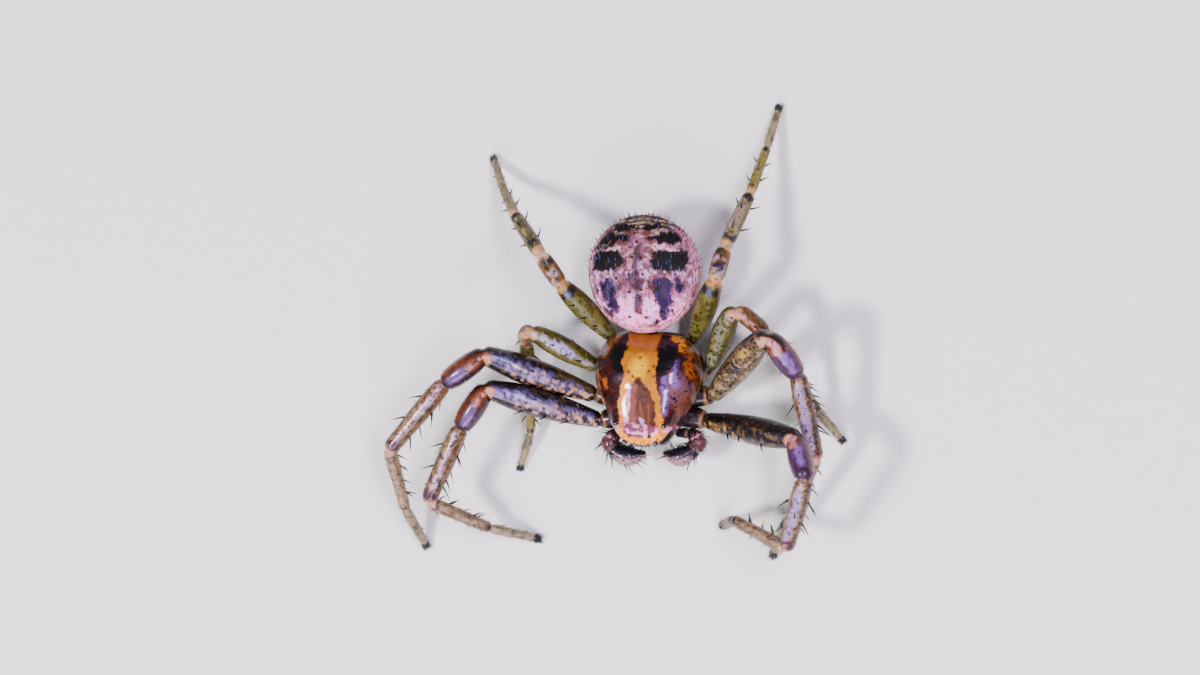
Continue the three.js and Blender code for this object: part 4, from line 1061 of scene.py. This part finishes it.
def make_palp(side, sign, material, hair):
    points = np.array(PALP_POINTS) * [sign, 1, 1]
    rings, out, ways = tube(points, PALP_RADII, PALP_RINGS, PALP_SIDES)
    place = np.broadcast_to(np.linspace(0, 1, PALP_RINGS)[:, None], out.shape[:2])
    notch = sum(np.exp(-(((place - joint) / 0.018) ** 2)) for joint in (0.16, 0.36, 0.55))
    rings = rings - out * (0.035 * notch)[..., None]
    up = out[..., 2]
    paint = Paint(0x33222E, out)
    paint.lay(0x6E4640, smooth((place - 0.22) / 0.1) * smooth((0.55 - place) / 0.08) * smooth(0.5 + up))
    # Pale pink along the top of the knee is a painted highlight.
    paint.lay(0xD0A0B0, 0.8 * smooth((place - 0.28) / 0.06) * smooth((0.4 - place) / 0.06) * smooth(up))
    paint.lay(0x1A1826, smooth((place - 0.56) / 0.05))
    paint.lay(0xB9989A, 0.7 * smooth((place - 0.6) / 0.1) * smooth((0.1 - out[..., 1]) / 0.6))
    paint.lay(0xA58A72, 0.6 * notch)
    fleck = flecked(colour(0x120D14), np.full(place.shape, 0.35))
    made = mesh_object(f"palp_{side}", loft(rings), material, "palp", tint=with_ends(paint.tint),
                       fleck=with_ends(fleck))
    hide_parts(f"palp_{side}_arm", f"palp_{side}_club")

    row, column = RANDOM.integers(20, 88, PALP_HAIRS), RANDOM.integers(0, PALP_SIDES, PALP_HAIRS)
    lengths = RANDOM.uniform(0.07, 0.13, PALP_HAIRS)
    long_ones = RANDOM.uniform(size=PALP_HAIRS) < 0.07
    lengths[long_ones] = RANDOM.uniform(0.24, 0.34, long_ones.sum())
    roots = rings[row, column]
    direction = out[row, column] * 0.8 + ways[row] * 0.6
    pale = (row > 54) & (out[row, column][:, 1] < 0.1) & ~long_ones
    codes = np.where(pale[:, None], colour(0xCDB4B4), colour(0x14110F))
    places = np.stack([column / PALP_SIDES, row / PALP_RINGS], -1)
    radii = np.where(long_ones, 0.013, 0.0055)
    keep = roots[:, 2] + lengths * unit(direction)[:, 2] > 0.3
    columns = (roots, direction, lengths, radii, codes, places, np.zeros_like(roots))
    coat(f"bristles_palp_{side}", "palp", hair, zip(*(each[keep] for each in columns)))


def plain_piece(name, shape, material, slot, ground, fleck, dense):
    """A piece with one ground colour and one fleck colour."""
    count = len(shape[0])
    return mesh_object(name, shape, material, slot, tint=np.tile(colour(ground), (count, 1)),
                       fleck=flecked(colour(fleck), np.full(count, dense)))


def make_underside(material):
    """Sternum with the mouth's lobes, the pedicel and the spinnerets."""
    angle, rise = np.meshgrid(round_turns(72), np.linspace(-88, 88, 30))
    across, up = boxed(rise, 2.2)
    taper = 1 - 0.25 * smooth((np.sin(angle) + 0.2) / 1.2)
    shield = np.stack([across * np.cos(angle) * taper, across * np.sin(angle), up], -1)
    lobes = [ball(np.array([sign * 0.17, -0.6, 0.78]), np.array([0.12, 0.2, 0.11])) for sign in (-1, 1)]
    shape = joined([loft(shield * STERNUM_HALF + STERNUM_MIDDLE), *lobes])
    made = plain_piece("sternum_skin", shape, material, "underside", 0x5A4028, 0x1E140C, 0.4)
    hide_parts("sternum")

    points = np.stack([np.zeros(14), np.linspace(0.9, 1.29, 14), np.full(14, 0.95)], -1)
    shape = loft(tube(points, 0.12 - 0.03 * np.sin(np.linspace(0, np.pi, 14)), 28)[0])
    made = plain_piece("pedicel_skin", shape, material, "underside", 0x4A3220, 0x1E140C, 0.3)
    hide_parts("pedicel")

    shapes = [ball(np.zeros(3), np.array([0.15, 0.06, 0.15]))]
    for turn in round_turns(6):
        foot = np.array([0.085 * np.cos(turn), 0.0, 0.085 * np.sin(turn)])
        points = foot + np.array([[0, 0, 0], [0, 0.12, 0], [0, 0.24, 0]])
        shapes.append(loft(tube(points, [0.05, 0.048, 0.02], 16, 16)[0]))
    points, faces = joined(shapes)
    turned = np.array(Matrix.Rotation(SPINNERET_LEAN, 3, "X"))
    shape = (points @ turned.T + SPINNERET_ROOT, faces)
    made = plain_piece("spinneret_skin", shape, material, "spinnerets", 0x8D7566, 0x3A2A24, 0.3)
    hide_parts("spinnerets")


def make_chelicera(side, sign, material):
    root = CHELICERA_ROOT * [sign, 1, 1]
    ahead = np.array([0.0, 1.0, 0.0])
    points = root + np.array([[0, 0, 0.0], [0, -0.01, -0.14], [0, 0, -0.3], [0.01 * sign, 0.02, -0.47]])
    fang = root + np.array([[0.06 * sign, 0, -0.44], [0.02 * sign, -0.02, -0.52], [-0.08 * sign, 0.0, -0.53]])
    shape = joined([loft(tube(points, [0.145, 0.178, 0.165, 0.1], 40, beside=ahead)[0]),
                    loft(tube(fang, [0.045, 0.035, 0.004], 20, 14, ahead)[0])])
    made = plain_piece(f"chelicera_skin_{side}", shape, material, "chelicera", 0x59331C, 0x1D0F08, 0.35)
    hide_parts(f"chelicera_{side}")


def carapace_coat(material):
    """A few curved bristles over the head and the front edge."""
    grown = []
    for x, rise in itertools.product(np.linspace(-0.62, 0.62, 9), (12, 38, 66)):
        x = x * (1 - rise / 150) + RANDOM.uniform(-0.03, 0.03)
        point, outward = face_frame(x, rise)
        way = carapace_way(outward * 0.8 + np.array([0, -0.5, 0.35]))
        grown.append((carapace_placed(point), way, [0.5 + 0.3 * x, rise / 90]))
    coat("bristles_carapace", "carapace", material,
         [(root, way, RANDOM.uniform(0.1, 0.17), 0.008, colour(0x120C0A), place, [0, -0.1, -0.12])
          for root, way, place in grown])


def make_floor():
    made = Nodes("floor_paper")
    tone = made.scaled(made.noise(1.4, 4.0), 0.05, 0.8)
    pale = made.mixed(tone, (0.60, 0.60, 0.58, 1), (0.80, 0.80, 0.78, 1))
    paper = made.finished({"Base Color": pale, "Roughness": 0.85})
    corners = np.array([[-1, -1, 0], [1, -1, 0], [1, 1, 0], [-1, 1, 0]]) * FLOOR_HALF
    mesh = bpy.data.meshes.new("floor")
    mesh.from_pydata((corners * MM).tolist(), [], [(0, 1, 2, 3)])
    mesh.materials.append(paper)
    floor = bpy.data.objects.new("floor", mesh)
    bpy.context.scene.collection.objects.link(floor)


def make_camera():
    back = np.array([np.sin(PHOTO_TILT), 0, np.cos(PHOTO_TILT)])
    right = np.array([np.cos(PHOTO_TILT), 0, -np.sin(PHOTO_TILT)])
    camera = bpy.data.objects.new("camera", bpy.data.cameras.new("camera"))
    camera.data.sensor_fit = "HORIZONTAL"
    camera.data.sensor_width = SENSOR_WIDTH
    camera.data.lens = SENSOR_WIDTH * CAMERA_DISTANCE * PHOTO_PIXELS_PER_MM / PHOTO_WIDTH
    camera.data.clip_start = 0.005
    camera.data.clip_end = 2.0
    place = (PHOTO_MIDDLE + back * CAMERA_DISTANCE - SHIFT) * MM
    rows = np.stack([right, np.cross(back, right), back], 1)
    camera.matrix_world = Matrix.Translation(place) @ Matrix(rows.tolist()).to_4x4()
    bpy.context.scene.collection.objects.link(camera)
    bpy.context.scene.camera = camera


def make_light(name, place, size, power, tint):
    """A soft panel, placed and sized in millimetres, that looks at the spider."""
    data = bpy.data.lights.new(name, "AREA")
    data.shape = "RECTANGLE"
    data.size, data.size_y = size[0] * MM, size[1] * MM
    data.energy = power
    data.color = tint
    lamp = bpy.data.objects.new(name, data)
    lamp.location = np.array(place) * MM
    lamp.rotation_mode = "QUATERNION"
    lamp.rotation_quaternion = lamp.location.to_track_quat("Z", "Y")
    bpy.context.scene.collection.objects.link(lamp)


def make_lights():
    for light in LIGHTS:
        make_light(*light)
    world = bpy.data.worlds.new("studio")
    world.use_nodes = True
    background = world.node_tree.nodes["Background"]
    background.inputs["Color"].default_value = WORLD_TINT
    background.inputs["Strength"].default_value = WORLD_STRENGTH
    bpy.context.scene.world = world


make_camera()
make_lights()
make_floor()
skins = {name: skin_material(name, *values) for name, values in SKINS.items()}
bristle = hair_material("bristle")

make_carapace(skins["carapace_shell"])
make_eyes(skins["eye_lens"])
carapace_coat(bristle)
make_abdomen(skins["abdomen_skin"])
abdomen_coat(bristle)
make_underside(skins["underside_skin"])
for side, sign in (("right", -1), ("left", 1)):
    make_chelicera(side, sign, skins["underside_skin"])
    make_palp(side, sign, skins["palp_skin"], bristle)
numbers = same_numbers(SPINE_SEED)
for name in POSE:
    leg = Leg(name)
    leg_skin(leg, skins["front_leg_skin" if leg.front else "rear_leg_skin"])
    leg_coat(leg, numbers, bristle)
